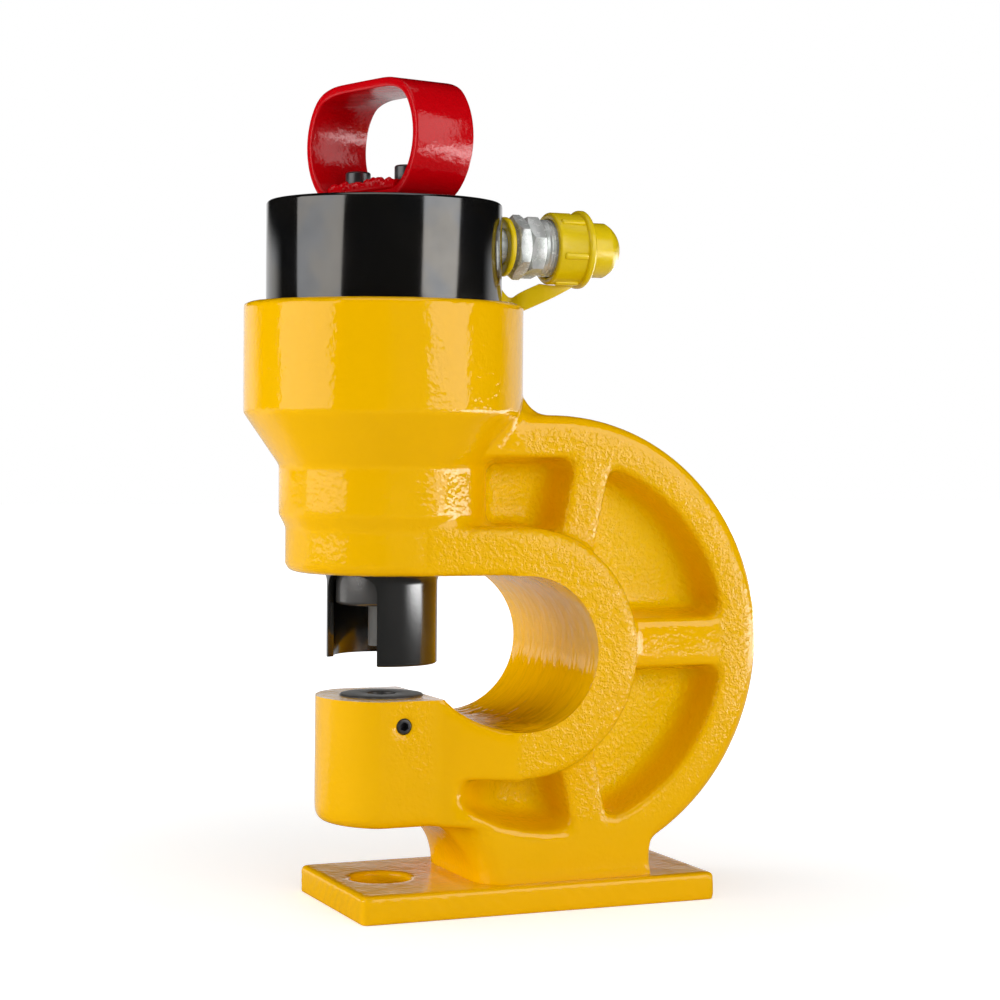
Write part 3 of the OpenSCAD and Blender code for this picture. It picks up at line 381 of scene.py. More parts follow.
def material(name, groups, colour, gloss, gloss_change=0.06, tone=0.1, metal=0.0, drift=0.02,
             bump="grain", stretch=(1, 1, 1), fine=2.0, depth=0.00002, coat=0.0, ior=1.5, other=None):
    """A procedural material on object coordinates, in millimetres inside its groups."""
    made = bpy.data.materials.new(name)
    made.use_nodes = True
    tree = made.node_tree
    shader = tree.nodes["Principled BSDF"]
    place = add(tree, "ShaderNodeTexCoord")
    scaled = add(tree, "ShaderNodeVectorMath", operation="SCALE")
    scaled.inputs["Scale"].default_value = 1.0 / MM
    tree.links.new(place.outputs["Object"], scaled.inputs[0])
    look = add(tree, "ShaderNodeGroup", node_tree=groups["drift"])
    look.inputs["Scale"].default_value = drift
    look.inputs["Colour"].default_value = (*colour, 1)
    look.inputs["Other colour"].default_value = (*(other or colour), 1)
    look.inputs["Tone"].default_value = tone
    look.inputs["Gloss"].default_value = gloss
    look.inputs["Gloss change"].default_value = gloss_change
    tree.links.new(scaled.outputs[0], look.inputs["Vector"])
    tree.links.new(look.outputs["Roughness"], shader.inputs["Roughness"])
    relief = add(tree, "ShaderNodeGroup", node_tree=groups[bump])
    tree.links.new(scaled.outputs[0], relief.inputs["Vector"])
    if bump == "grain":
        relief.inputs["Stretch"].default_value = stretch
        relief.inputs["Fineness"].default_value = fine
        tree.links.new(look.outputs["Colour"], shader.inputs["Base Color"])
    else:
        tree.links.new(look.outputs["Colour"], relief.inputs["Colour"])
        tree.links.new(relief.outputs["Colour"], shader.inputs["Base Color"])
    lift = add(tree, "ShaderNodeBump")
    lift.inputs["Strength"].default_value = 1.0
    lift.inputs["Distance"].default_value = depth
    tree.links.new(relief.outputs["Height"], lift.inputs["Height"])
    tree.links.new(lift.outputs["Normal"], shader.inputs["Normal"])
    shader.inputs["Metallic"].default_value = metal
    shader.inputs["IOR"].default_value = ior
    if coat:
        shader.inputs["Coat Weight"].default_value = coat
        shader.inputs["Coat Roughness"].default_value = 0.06
    return made


def make_materials(looks):
    """One material for each slot of the record, by slot name."""
    groups = {"skin": cast_skin_group(), "drift": drift_group(), "grain": grain_group()}
    enamel = tuple(looks.enamel)
    red = tuple(looks.handle_paint)
    lemon = tuple(looks.cap_plastic)
    turned = (0.02, 0.02, 1.0)
    return {
        "frame_enamel": material("Frame enamel", groups, enamel, 0.06, 0.05, 0.08, drift=0.03, bump="skin",
                                 depth=looks.skin_depth, ior=1.45),
        "base_enamel": material("Base enamel", groups, enamel, 0.1, 0.08, 0.1, drift=0.03, bump="skin",
                                depth=looks.skin_depth * 0.8, ior=1.42),
        "cylinder_black": material("Black oxide cup", groups, (0.136, 0.129, 0.119), 0.1, 0.1, 0.4, 0.96,
                                   0.06, stretch=(0.05, 0.05, 1.0), fine=1.6, depth=0.000012,
                                   other=(0.114, 0.116, 0.12)),
        "handle_red": material("Handle red", groups, red, 0.15, 0.06, 0.08, fine=0.2, depth=0.00035, ior=1.4),
        "black_steel": material("Black screws", groups, (0.018, 0.018, 0.02), 0.32, 0.1, 0.3, 0.0,
                                ior=1.9, fine=1.2, depth=0.00004),
        "ground_steel": material("Ground steel", groups, (0.6, 0.6, 0.62), 0.16, 0.06, 0.06, 1.0,
                                 stretch=turned, fine=4.0),
        "seal_rubber": material("Seal rubber", groups, (0.02, 0.02, 0.02), 0.6, 0.1, 0.2, fine=1.0,
                                depth=0.00006),
        "guide_plastic": material("Guide plastic", groups, (0.25, 0.12, 0.04), 0.55, 0.1, 0.3, fine=1.5,
                                  depth=0.00005),
        "spring_steel": material("Spring steel", groups, (0.25, 0.26, 0.28), 0.33, 0.1, 0.2, 1.0, fine=1.0,
                                 depth=0.00004),
        "bronze": material("Bronze", groups, (0.5, 0.28, 0.1), 0.28, 0.08, 0.15, 1.0, stretch=turned,
                           fine=3.0),
        "stripper_black": material("Stripper black", groups, (0.009, 0.009, 0.008), 0.17, 0.08, 0.6, 0.0,
                                   0.6, fine=1.1, depth=0.00002, ior=2.0),
        "holder_steel": material("Holder steel", groups, (0.24, 0.234, 0.228), 0.26, 0.1, 0.25, 0.85, 0.1,
                                 stretch=turned, fine=2.0, depth=0.00003),
        "tool_steel": material("Tool steel", groups, (0.3, 0.3, 0.29), 0.3, 0.08, 0.2, 0.4, stretch=turned,
                               fine=2.5),
        "die_steel": material("Die steel", groups, (0.13, 0.125, 0.12), 0.34, 0.16, 0.8, 0.4, 0.35, fine=1.0,
                              depth=0.00006, other=(0.08, 0.078, 0.076)),
        "zinc_steel": material("Zinc plate", groups, (0.66, 0.67, 0.66), 0.26, 0.16, 0.3, 0.4, 0.3, fine=0.8,
                               depth=0.00008, other=(0.56, 0.59, 0.57)),
        "cap_yellow": material("Cap plastic", groups, lemon, 0.24, 0.1, 0.08, fine=0.25, depth=0.00018),
    }


# Mesh tools

def turned(profile, steps, place=None, closed=True):
    """A mesh spun from an outline of (radius, height) in millimetres about Z, then placed."""
    bm = bmesh.new()
    verts = [bm.verts.new((r * MM, 0, h * MM)) for r, h in profile]
    pairs = list(zip(verts, verts[1:]))
    if closed:
        pairs.append((verts[-1], verts[0]))
    edges = [bm.edges.new(pair) for pair in pairs]
    bmesh.ops.spin(bm, geom=verts + edges, cent=(0, 0, 0), axis=(0, 0, 1), dvec=(0, 0, 0),
                   angle=math.tau, steps=steps, use_merge=True, use_duplicate=False)
    bmesh.ops.remove_doubles(bm, verts=bm.verts, dist=1e-7)
    bmesh.ops.dissolve_degenerate(bm, edges=bm.edges, dist=1e-7)
    bmesh.ops.recalc_face_normals(bm, faces=bm.faces)
    if place is not None:
        bmesh.ops.transform(bm, matrix=place, verts=bm.verts)
        bmesh.ops.recalc_face_normals(bm, faces=bm.faces)
    return bm


def soften(bm, width, angle=35.0, segments=2):
    """Rounds the edges that are sharper than the angle."""
    bm.normal_update()
    sharp = [e for e in bm.edges if len(e.link_faces) == 2
             and e.calc_face_angle(0) > math.radians(angle)]
    bmesh.ops.bevel(bm, geom=sharp, offset=width * MM, offset_type="OFFSET", segments=segments,
                    profile=0.5, affect="EDGES", clamp_overlap=True, material=-1)


def along_x(x):
    """Lays an upright turned shape along the coupler's axis."""
    return Matrix.Translation((x * MM, 0, PORT_Z * MM)) @ Matrix.Rotation(math.pi / 2, 4, "Y")


def holder(mesh, name="scratch"):
    obj = bpy.data.objects.new(name, mesh)
    bpy.context.scene.collection.objects.link(obj)
    return obj


def as_mesh(bm, name):
    mesh = bpy.data.meshes.new(name)
    bm.to_mesh(mesh)
    bm.free()
    return mesh


def applied(obj):
    """The object's mesh with its modifiers worked in; the object is removed."""
    bpy.context.view_layer.update()
    graph = bpy.context.evaluated_depsgraph_get()
    mesh = bpy.data.meshes.new_from_object(obj.evaluated_get(graph), depsgraph=graph)
    old = obj.data
    bpy.data.objects.remove(obj)
    bpy.data.meshes.remove(old)
    return mesh


def remeshed(mesh, cell):
    obj = holder(mesh)
    mod = obj.modifiers.new("cells", "REMESH")
    mod.mode = "VOXEL"
    mod.voxel_size = cell
    mod.use_smooth_shade = True
    return applied(obj)


def cut(mesh, cutter, operation="DIFFERENCE"):
    obj, tool = holder(mesh), holder(cutter)
    mod = obj.modifiers.new("cut", "BOOLEAN")
    mod.operation = operation
    mod.solver = "EXACT"
    mod.object = tool
    made = applied(obj)
    bpy.data.objects.remove(tool)
    bpy.data.meshes.remove(cutter)
    return made


def shifted(mesh, distance):
    """Moves each vertex along its normal."""
    bm = bmesh.new()
    bm.from_mesh(mesh)
    bm.normal_update()
    for v in bm.verts:
        v.co += v.normal * distance
    bm.to_mesh(mesh)
    bm.free()
    return mesh


def smoothed(mesh, rounds, factor=0.5):
    bm = bmesh.new()
    bm.from_mesh(mesh)
    for _ in range(rounds):
        bmesh.ops.smooth_vert(bm, verts=bm.verts, factor=factor, use_axis_x=True, use_axis_y=True,
                              use_axis_z=True)
    bm.to_mesh(mesh)
    bm.free()
    return mesh


def cad_copy(node, name):
    """A merged copy of a CAD node's mesh."""
    bm = bmesh.new()
    bm.from_mesh(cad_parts[node].data)
    bmesh.ops.remove_doubles(bm, verts=bm.verts, dist=1e-6)
    bmesh.ops.recalc_face_normals(bm, faces=bm.faces)
    return as_mesh(bm, name)


def joined(*parts):
    """One mesh of several."""
    bm = bmesh.new()
    for part in parts:
        bm.from_mesh(part)
        bpy.data.meshes.remove(part)
    return as_mesh(bm, "joined")


def show(mesh, name, node, sharp=40.0, body=None):
    """Shows a mesh as the piece that stands for a CAD node, with the material of the node's slot."""
    obj = holder(mesh, name)
    mesh.name = name
    mesh.shade_smooth()
    mesh.set_sharp_from_angle(angle=math.radians(sharp))
    slot = NODE_SLOT[node]
    mesh.materials.clear()
    mesh.materials.append(MATERIALS[slot])
    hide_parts(node)
    if body != "":
        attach(obj, body or NODE_BODY.get(node, "root"))
    return obj


def rod(radius, length, place, steps=48, lead=0.0):
    """A plain round cutter standing on Z = 0, with a wider mouth at its far end."""
    outline = [(0, 0), (radius, 0), (radius, length - 2 * lead), (radius + lead, length - lead),
               (radius + lead, length), (0, length)] if lead else \
              [(0, 0), (radius, 0), (radius, length), (0, length)]
    return as_mesh(turned(outline, steps, place, closed=False), "cutter")


def hex_prism(flats, length, place, turn=0.0):
    bm = bmesh.new()
    r = flats / 2 / math.cos(math.pi / 6) * MM
    bmesh.ops.create_cone(bm, cap_ends=True, segments=6, radius1=r, radius2=r, depth=length * MM,
                          matrix=Matrix.Rotation(math.radians(turn), 4, "Z")
                          @ Matrix.Translation((0, 0, length * MM / 2)))
    bmesh.ops.transform(bm, matrix=place, verts=bm.verts)
    return bm


def chamfered_hex(flats, length, place, turn=0.0, bore=0.0):
    """A hexagonal nut body: a prism cut back by a cone at both ends."""
    ac = flats / math.cos(math.pi / 6)
    lead = (ac - flats) / 2 * math.tan(math.pi / 6)
    cone = turned([(0, 0), (flats / 2 - 0.2, 0), (ac / 2 + 0.3, lead + 0.3),
                   (ac / 2 + 0.3, length - lead - 0.3), (flats / 2 - 0.2, length), (0, length)], 96, place,
                  closed=False)
    past = place @ Matrix.Translation((0, 0, -0.5 * MM))
    mesh = cut(as_mesh(cone, "cone"), as_mesh(hex_prism(flats, length + 1, past, turn), "hex"), "INTERSECT")
    if bore:
        mesh = cut(mesh, rod(bore, length + 2, place @ Matrix.Translation((0, 0, -MM))))
    return mesh


def softened(mesh, width, angle=30.0, segments=2):
    bm = bmesh.new()
    bm.from_mesh(mesh)
    bmesh.ops.remove_doubles(bm, verts=bm.verts, dist=1e-7)
    bmesh.ops.dissolve_limit(bm, angle_limit=math.radians(0.5), verts=bm.verts, edges=bm.edges)
    soften(bm, width, angle, segments)
    bm.to_mesh(mesh)
    bm.free()
    return mesh


def even(points, n):
    """The points of a smooth line through the given ones, n to each span."""
    out = []
    for i in range(len(points) - 1):
        p = [Vector(points[min(max(j, 0), len(points) - 1)]) for j in (i - 1, i, i + 1, i + 2)]
        for k in range(n):
            t = k / n
            out.append(0.5 * (2 * p[1] + (p[2] - p[0]) * t + (2 * p[0] - 5 * p[1] + 4 * p[2] - p[3]) * t * t
                              + (3 * p[1] - p[0] - 3 * p[2] + p[3]) * t ** 3))
    out.append(Vector(points[-1]))
    return out


def swept(line, wide, width, painted_pocket_light, edge, closed=False):
    """A strip of rounded section along a line in millimetres, with its width turned as given."""
    bm = bmesh.new()
    loops = []
    n = len(line)
    w, t = width / 2, painted_pocket_light / 2
    arcs = [(math.sin(a), math.cos(a)) for a in (math.radians(30 * k) for k in range(4))]
    corner = [(w - edge + edge * b, t - edge + edge * a) for a, b in arcs]
    section = corner + [(-a, b) for a, b in reversed(corner)]
    section += [(-a, -b) for a, b in corner] + [(a, -b) for a, b in reversed(corner)]
    for i, p in enumerate(line):
        ahead = line[(i + 1) % n] if closed else line[min(i + 1, n - 1)]
        before = line[i - 1] if closed else line[max(i - 1, 0)]
        run = (ahead - before).normalized()
        side = (wide[i] - wide[i].dot(run) * run).normalized()
        up = run.cross(side)
        made = bmesh.ops.create_circle(bm, cap_ends=False, segments=len(section), radius=1.0)["verts"]
        for v, (a, b) in zip(made, section):
            v.co = (p + side * a + up * b) * MM
        loops.append(list({edge_of for v in made for edge_of in v.link_edges}))
    pairs = list(zip(loops, loops[1:]))
    if closed:
        pairs.append((loops[-1], loops[0]))
    for a, b in pairs:
        bmesh.ops.bridge_loops(bm, edges=a + b)
    if not closed:
        bmesh.ops.holes_fill(bm, edges=[e for e in bm.edges if e.is_boundary], sides=0)
    bmesh.ops.recalc_face_normals(bm, faces=bm.faces)
    return as_mesh(bm, "strip")


# Pieces

def foot_bead(looks):
    """A bead laid round the foot where it meets the base plate."""
    bm = bmesh.new()
    bm.from_mesh(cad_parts["c_frame"].data)
    bmesh.ops.remove_doubles(bm, verts=bm.verts, dist=1e-6)
    bmesh.ops.bisect_plane(bm, geom=bm.verts[:] + bm.edges[:] + bm.faces[:],
                           plane_co=(0, 0, (BASE_TOP + 1.0) * MM), plane_no=(0, 0, 1), clear_outer=True)
    rim = [e for e in bm.edges if len(e.link_faces) == 1]
    bmesh.ops.delete(bm, geom=[e for e in bm.edges if e not in set(rim)], context="EDGES")
    loose = [v for v in bm.verts if not v.link_edges]
    bmesh.ops.delete(bm, geom=loose, context="VERTS")
    line = bpy.data.curves.new("bead_line", "CURVE")
    line.dimensions = "3D"
    line.bevel_depth = looks.bead_r
    line.bevel_resolution = 3
    left = set(bm.verts)
    while left:
        start = left.pop()
        ring, at = [start], start
        while True:
            after = [e.other_vert(at) for e in at.link_edges if e.other_vert(at) in left]
            if not after:
                break
            at = after[0]
            left.discard(at)
            ring.append(at)
        if len(ring) < 8 or max((v.co.xy - ring[0].co.xy).length for v in ring) < 0.03:
            continue
        spline = line.splines.new("POLY")
        spline.points.add(len(ring) - 1)
        spline.use_cyclic_u = True
        for point, v in zip(spline.points, ring):
            point.co = (v.co.x, v.co.y, (BASE_TOP + 0.6) * MM, 1)
    bm.free()
    obj = bpy.data.objects.new("bead_line", line)
    bpy.context.scene.collection.objects.link(obj)
    bpy.context.view_layer.update()
    graph = bpy.context.evaluated_depsgraph_get()
    mesh = bpy.data.meshes.new_from_object(obj.evaluated_get(graph), depsgraph=graph)
    bpy.data.objects.remove(obj)
    return mesh


def throat_outline():
    """Side view of the throat: level under the head, round at the back, a ramp up to the die block."""
    back = [(THROAT_X + THROAT_R * math.cos(a), THROAT_Z + THROAT_R * math.sin(a))
            for a in (math.radians(90 - 180 * i / 64) for i in range(65))]
    floor = THROAT_Z - THROAT_R
    last = math.acos(1 - (BLOCK_TOP - floor) / THROAT_RAMP_R)
    slope = [(THROAT_X - THROAT_RAMP_R * math.sin(a), floor + THROAT_RAMP_R * (1 - math.cos(a)))
             for a in (last * (i + 1) / 16 for i in range(16))]
    return [(-80, HEAD_Z)] + back + slope + [(-80, BLOCK_TOP)]


def slab(outline, half):
    """A side view outline, as X and Z, carried to both sides of the mid plane."""
    bm = bmesh.new()
    face = bm.faces.new([bm.verts.new((x * MM, -half * MM, z * MM)) for x, z in outline])
    made = bmesh.ops.extrude_face_region(bm, geom=[face])["geom"]
    moved = [v for v in made if isinstance(v, bmesh.types.BMVert)]
    bmesh.ops.translate(bm, verts=moved, vec=(0, 2 * half * MM, 0))
    bmesh.ops.recalc_face_normals(bm, faces=bm.faces)
    return as_mesh(bm, "slab")


def raised_block():
    """The top of the die block again, a little higher, so that its top can be machined off sharp."""
    bm = bmesh.new()
    bm.from_mesh(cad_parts["c_frame"].data)
    bmesh.ops.remove_doubles(bm, verts=bm.verts, dist=1e-6)
    for point, way in (((0, 0, 100.0), (0, 0, -1)), ((0, 0, BLOCK_TOP - 0.1), (0, 0, 1)),
                       ((20.5, 0, 0), (1, 0, 0))):
        made = bmesh.ops.bisect_plane(bm, geom=bm.verts[:] + bm.edges[:] + bm.faces[:],
                                      plane_co=Vector(point) * MM, plane_no=way, clear_outer=True)
        rim = [e for e in bm.edges if e.is_boundary]
        bmesh.ops.holes_fill(bm, edges=rim, sides=0)
    bmesh.ops.translate(bm, verts=bm.verts, vec=(0, 0, 5 * MM))
    bmesh.ops.recalc_face_normals(bm, faces=bm.faces)
    return as_mesh(bm, "raised_block")


def head_radius(z):
    """Outer radius of the turned head at a level, in millimetres."""
    for low, high, r0, r1 in ((HEAD_Z + 4, BOSS_TOP, BOSS_R, BOSS_R), (BOSS_TOP, NECK_Z, BOSS_R, NECK_R),
                              (NECK_Z, NECK_TOP, NECK_R, NECK_R), (NECK_TOP, COLLAR_Z, NECK_R, COLLAR_R),
                              (COLLAR_Z, COLLAR_TOP - 0.7, COLLAR_R, COLLAR_R)):
        if low <= z < high:
            return r0 + (r1 - r0) * (z - low) / (high - low)
    return None


def trued_head(mesh):
    """Brings the turned faces of the head back to their true radius."""
    bm = bmesh.new()
    bm.from_mesh(mesh)
    near = []
    for v in bm.verts:
        true = head_radius(v.co.z / MM)
        if true is None:
            continue
        radius = v.co.xy.length / MM
        off = abs(radius - true)
        if off > 1.1:
            continue
        pull = min(1.0, (1.1 - off) / 0.5)
        v.co.xy *= 1 + pull * (true / radius - 1)
        near.append(v)
    bmesh.ops.smooth_vert(bm, verts=near, factor=0.5, use_axis_x=True, use_axis_y=True, use_axis_z=True)
    bm.to_mesh(mesh)
    bm.free()
    return mesh


def deepened(mesh):
    """Carries the foot's sole down into the base plate, so that its walls stay upright to the cut."""
    bm = bmesh.new()
    bm.from_mesh(mesh)
    sole = [f for f in bm.faces if all(abs(v.co.z / MM - BASE_TOP) < 0.05 for v in f.verts)]
    made = bmesh.ops.extrude_face_region(bm, geom=sole)["geom"]
    bmesh.ops.delete(bm, geom=sole, context="FACES_ONLY")
    low = [v for v in made if isinstance(v, bmesh.types.BMVert)]
    bmesh.ops.translate(bm, verts=low, vec=(0, 0, -7 * MM))
    bmesh.ops.recalc_face_normals(bm, faces=bm.faces)
    bm.to_mesh(mesh)
    bm.free()
    return mesh


def leaning_foot(mesh):
    """Leans the foot's front face forward to the die block, as drawn from the mould."""
    bm = bmesh.new()
    bm.from_mesh(mesh)
    for v in bm.verts:
        x, y, z = v.co / MM
        if x > 56 or x < 20 or z > 46:
            continue
        rise = min(max((z - BASE_TOP) / (BLOCK_BOTTOM - BASE_TOP), 0.0), 1.0)
        hold = min(1.0, (56 - x) / 14) * min(1.0, (46 - z) / 4)
        v.co.x += (FOOT_TOE - FOOT_LEAN * rise * (0.55 + 0.45 * rise)) * hold * MM
    bm.to_mesh(mesh)
    bm.free()
    return mesh


def build_casting(looks):
    """The cast frame: inner corners filled and edges eased, its faces and bores machined after."""
    cell = looks.cell * 1.0
    back = [p for p in throat_outline() if p[0] >= THROAT_X - 0.01]
    plug = slab([(THROAT_X - 3, back[0][1])] + back + [(THROAT_X - 3, back[-1][1])], BAND_HALF_T)
    mesh = joined(deepened(cad_copy("c_frame", "casting")), foot_bead(looks), plug, raised_block())
    mesh = leaning_foot(remeshed(mesh, cell))
    if looks.fillet:
        mesh = remeshed(shifted(mesh, looks.fillet), cell)
        mesh = remeshed(shifted(mesh, -looks.fillet), cell)
    mesh = trued_head(smoothed(mesh, 4))
    mesh = cut(mesh, slab(throat_outline(), 75))
    front = Matrix.Translation((0, -22 * MM, SET_SCREW_Z * MM)) @ Matrix.Rotation(math.pi / 2, 4, "X")
    tools = joined(
        rod(DIE_R + 0.05, 40, Matrix.Translation((0, 0, DIE_Z * MM)), 96),
        rod(STRIPPER_THREAD_R + 0.05, 28, Matrix.Translation((0, 0, 157 * MM)), 96),
        rod(CYL_R + 0.05, 70, Matrix.Translation((0, 0, COLLAR_SEAT * MM)), 128))
    mesh = cut(mesh, tools)
    mesh = cut(mesh, rod(4.08, 30, front, 40))
    bm = bmesh.new()
    bm.from_mesh(mesh)
    cutline = bmesh.ops.bisect_plane(bm, geom=bm.verts[:] + bm.edges[:] + bm.faces[:],
                                     plane_co=(0, 0, (BASE_TOP + 0.02) * MM), plane_no=(0, 0, 1),
                                     clear_inner=True)
    rim = [e for e in cutline["geom_cut"] if isinstance(e, bmesh.types.BMEdge) and e.is_boundary]
    bmesh.ops.holes_fill(bm, edges=rim, sides=0)
    bm.to_mesh(mesh)
    bm.free()
    show(mesh, "cast_frame_skin", "c_frame", sharp=50.0)


def build_base(looks):
    """The base plate with flame-cut edges, softened by paint."""
    mesh = remeshed(cad_copy("base_plate", "base"), 0.0012)
    mesh = smoothed(mesh, 5)
    bm = bmesh.new()
    bm.from_mesh(mesh)
    bm.normal_update()
    dice = random.Random(7)
    waves = [(dice.uniform(0.25, 0.6), dice.uniform(0.5, 1.4), dice.uniform(0, 6)) for _ in range(5)]
    lo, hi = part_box("base_plate")
    for v in bm.verts:
        side = 1.0 - abs(v.normal.z)
        if side < 0.3:
            continue
        x, y, z = v.co / MM
        rough = sum(math.sin((x + y) * a * 2 + b * z + c) for a, b, c in waves) / 5
        v.co -= v.normal * side * (0.0003 + 0.00028 * rough)
        v.co.x = min(max(v.co.x, lo.x), hi.x)
    bm.to_mesh(mesh)
    bm.free()
    show(mesh, "base_plate_skin", "base_plate", sharp=60.0)


def build_cylinder(looks):
    """The black cup, closed at the top, with its oil port."""
    bm = turned([(0, CYL_TOP), (CYL_R - 1.2, CYL_TOP), (CYL_R, CYL_TOP - 1.2), (CYL_R, COLLAR_SEAT),
                 (CYL_BORE_R, COLLAR_SEAT), (CYL_BORE_R, CYL_BORE_TOP), (0, CYL_BORE_TOP)],
                looks.steps * 3 // 2, closed=False)
    soften(bm, 0.5)
    mesh = cut(as_mesh(bm, "cup"), rod(8.35, 30, along_x(41)))
    show(mesh, "cylinder_cup_skin", "cylinder", sharp=30.0)


def handle_place():
    return (Matrix.Translation((0, 0, CYL_TOP * MM))
            @ Matrix.Rotation(math.radians(HANDLE_TURN - 90), 4, "Z")
            @ Matrix.Translation((0, HANDLE_SHIFT * MM, 0)))


def handle_line():
    """Middle line of the handle's strap, closed, with its bends eased."""
    inset = STRAP_T / 2
    side_x, belly = HANDLE_L / 2 - HANDLE_SIDE_R, 0.51 * HANDLE_H
    r, top, low = HANDLE_SIDE_R - inset, HANDLE_H - inset, inset
    bend = math.tan(math.radians(14.4))
    end_low = math.asin((low - belly) / r)
    right = []
    for i in range(200):
        a = end_low + (math.pi / 2 - end_low) * i / 199
        x, z = side_x + r * math.cos(a), belly + r * math.sin(a)
        roof = top - max(0.0, x - HANDLE_TOP_HALF) * bend
        right.append((x, z) if z < roof else (x, roof))
    while len(right) > 1 and right[-1][0] < HANDLE_TOP_HALF:
        right.pop()
    half = [(0.0, low)] + right + [(0.0, top)]
    corners = half + [(-x, z) for x, z in reversed(half[1:-1])]
    loop, step = [], 1.2
    for (x0, z0), (x1, z1) in zip(corners, corners[1:] + corners[:1]):
        n = max(1, round(math.hypot(x1 - x0, z1 - z0) / step))
        loop += [(x0 + (x1 - x0) * k / n, z0 + (z1 - z0) * k / n) for k in range(n)]
    spaced = [Vector((x, 0, z)) for x, z in loop]
    kept = [spaced[0]]
    for p in spaced[1:]:
        if (p - kept[-1]).length > 0.9:
            kept.append(p)
    for _ in range(24):
        kept = [(kept[i - 1] + 2 * p + kept[(i + 1) % len(kept)]) / 4 for i, p in enumerate(kept)]
    return kept


def build_handle(looks):
    """The bent strap with its ends lapped under the screws, and the rough weld along the lap's near edge."""
    line = handle_line()
    loop = swept(line, [Vector((0, 1, 0))] * len(line), STRAP_W, STRAP_T, looks.strap_edge / MM, closed=True)
    lap = swept([Vector((HANDLE_LAP * (i / 16 - 0.5), 0, 1.5 * STRAP_T)) for i in range(17)],
                [Vector((0, 1, 0))] * 17, STRAP_W - 0.3, STRAP_T, looks.strap_edge / MM)
    mesh = joined(loop, lap)
    mesh.transform(handle_place())
    for spot in screw_spots():
        mesh = cut(mesh, rod(4.5, 14, spot @ Matrix.Translation((0, 0, -12 * MM))))
    show(mesh, "handle_strap_skin", "handle", sharp=40.0)
    dice = random.Random(3)
    parts = []
    for i in range(46):
        bm = bmesh.new()
        bmesh.ops.create_icosphere(bm, subdivisions=2, radius=1.0)
        x = -25 + 50 * i / 45 + dice.uniform(-0.6, 0.6)
        size = (dice.uniform(1.4, 2.7), dice.uniform(1.2, 2.0), dice.uniform(1.1, 2.3))
        z = 2 * STRAP_T + dice.uniform(-2.4, 0.4)
        y = -STRAP_W / 2 + dice.uniform(0.9, 2.5)
        at = handle_place() @ Matrix.Translation((x * MM, y * MM, z * MM))
        bmesh.ops.transform(bm, matrix=at @ Matrix.Diagonal((*[k * MM for k in size], 1)), verts=bm.verts)
        parts.append(as_mesh(bm, "lump"))
    bead = smoothed(remeshed(joined(*parts), 0.00045), 2)
    show(bead, "handle_weld_bead", "handle", sharp=80.0)


def screw_spots():
    """Places of the handle screws' seats, on the lapped strap."""
    return [handle_place() @ Matrix.Translation((side * SCREW_GAP / 2 * MM, (SCREW_SHIFT - HANDLE_SHIFT) * MM,
                                                 2 * STRAP_T * MM)) for side in (-1, 1)]


def cap_screw(d, length):
    """A socket head cap screw, in place with its seat on Z = 0."""
    r = 0.8 * d
    head = turned([(0, -length), (d / 2 - 0.6, -length), (d / 2, -length + 0.6), (d / 2, 0), (r, 0),
                   (r, d - 0.8), (r - 0.8, d), (0, d)], 48, closed=False)
    soften(head, 0.25)
    return cut(as_mesh(head, "screw"),
               as_mesh(hex_prism(0.75 * d, d, Matrix.Translation((0, 0, d / 2 * MM))), "socket"))


def build_handle_screws(looks):
    """The two socket head screws that hold the handle."""
    parts = []
    for turn, spot in zip((-0.4, 0.4), screw_spots()):
        mesh = cap_screw(8.0, 2 * STRAP_T + 12)
        mesh.transform(spot @ Matrix.Rotation(turn, 4, "Z"))
        parts.append(mesh)
    show(joined(*parts), "handle_cap_screws", "handle_screws", sharp=30.0)


def build_stripper(looks):
    """The stripper tube with its window, and its thread up in the head."""
    window_top, window_w, window_r, window_turn = HEAD_Z - 1, 32.4, 8.0, 29.0
    hollow = [(STRIPPER_THREAD_R - 0.1 - 3.1 * math.sin(a), HEAD_Z - 5.3 + 5.2 * (1 - math.cos(a)))
              for a in (math.radians(90 - 15 * i) for i in range(7))]
    bm = turned([(STRIPPER_IN_R, STRIPPER_Z), (STRIPPER_R - 0.6, STRIPPER_Z), (STRIPPER_R, STRIPPER_Z + 0.6)]
                + [(r, 2 * HEAD_Z - 5.3 - z) for r, z in hollow]
                + [(STRIPPER_THREAD_R, HEAD_Z), (STRIPPER_THREAD_R, STRIPPER_TOP),
                   (STRIPPER_IN_R, STRIPPER_TOP)],
                looks.steps)
    window = bmesh.new()
    bmesh.ops.create_cube(window, size=1.0)
    low = STRIPPER_Z - 6
    bmesh.ops.transform(window, verts=window.verts, matrix=Matrix.Translation(
        (-0.5 * 60 * MM, 0, (low + window_top) / 2 * MM))
        @ Matrix.Diagonal((60 * MM, window_w * MM, (window_top - low) * MM, 1)))
    upper = [e for e in window.edges if all(v.co.z > (low + 10) * MM for v in e.verts)
             and abs(e.verts[0].co.x - e.verts[1].co.x) > 0.01]
    bmesh.ops.bevel(window, geom=upper, offset=window_r * MM, offset_type="OFFSET", segments=8, profile=0.5,
                    affect="EDGES", material=-1)
    bmesh.ops.rotate(window, verts=window.verts, cent=(0, 0, 0),
                     matrix=Matrix.Rotation(math.radians(window_turn), 3, "Z"))
    tube = cut(as_mesh(bm, "tube"), as_mesh(window, "window"))
    step = bmesh.new()
    bmesh.ops.create_cube(step, size=0.1)
    bmesh.ops.translate(step, verts=step.verts,
                        vec=(0, 0.05 - 8.5 * MM, (STRIPPER_Z + STRIPPER_STEP) * MM - 0.05))
    mesh = softened(cut(tube, as_mesh(step, "step")), 0.45, 40.0)
    show(mesh, "stripper_tube", "stripper", sharp=30.0)


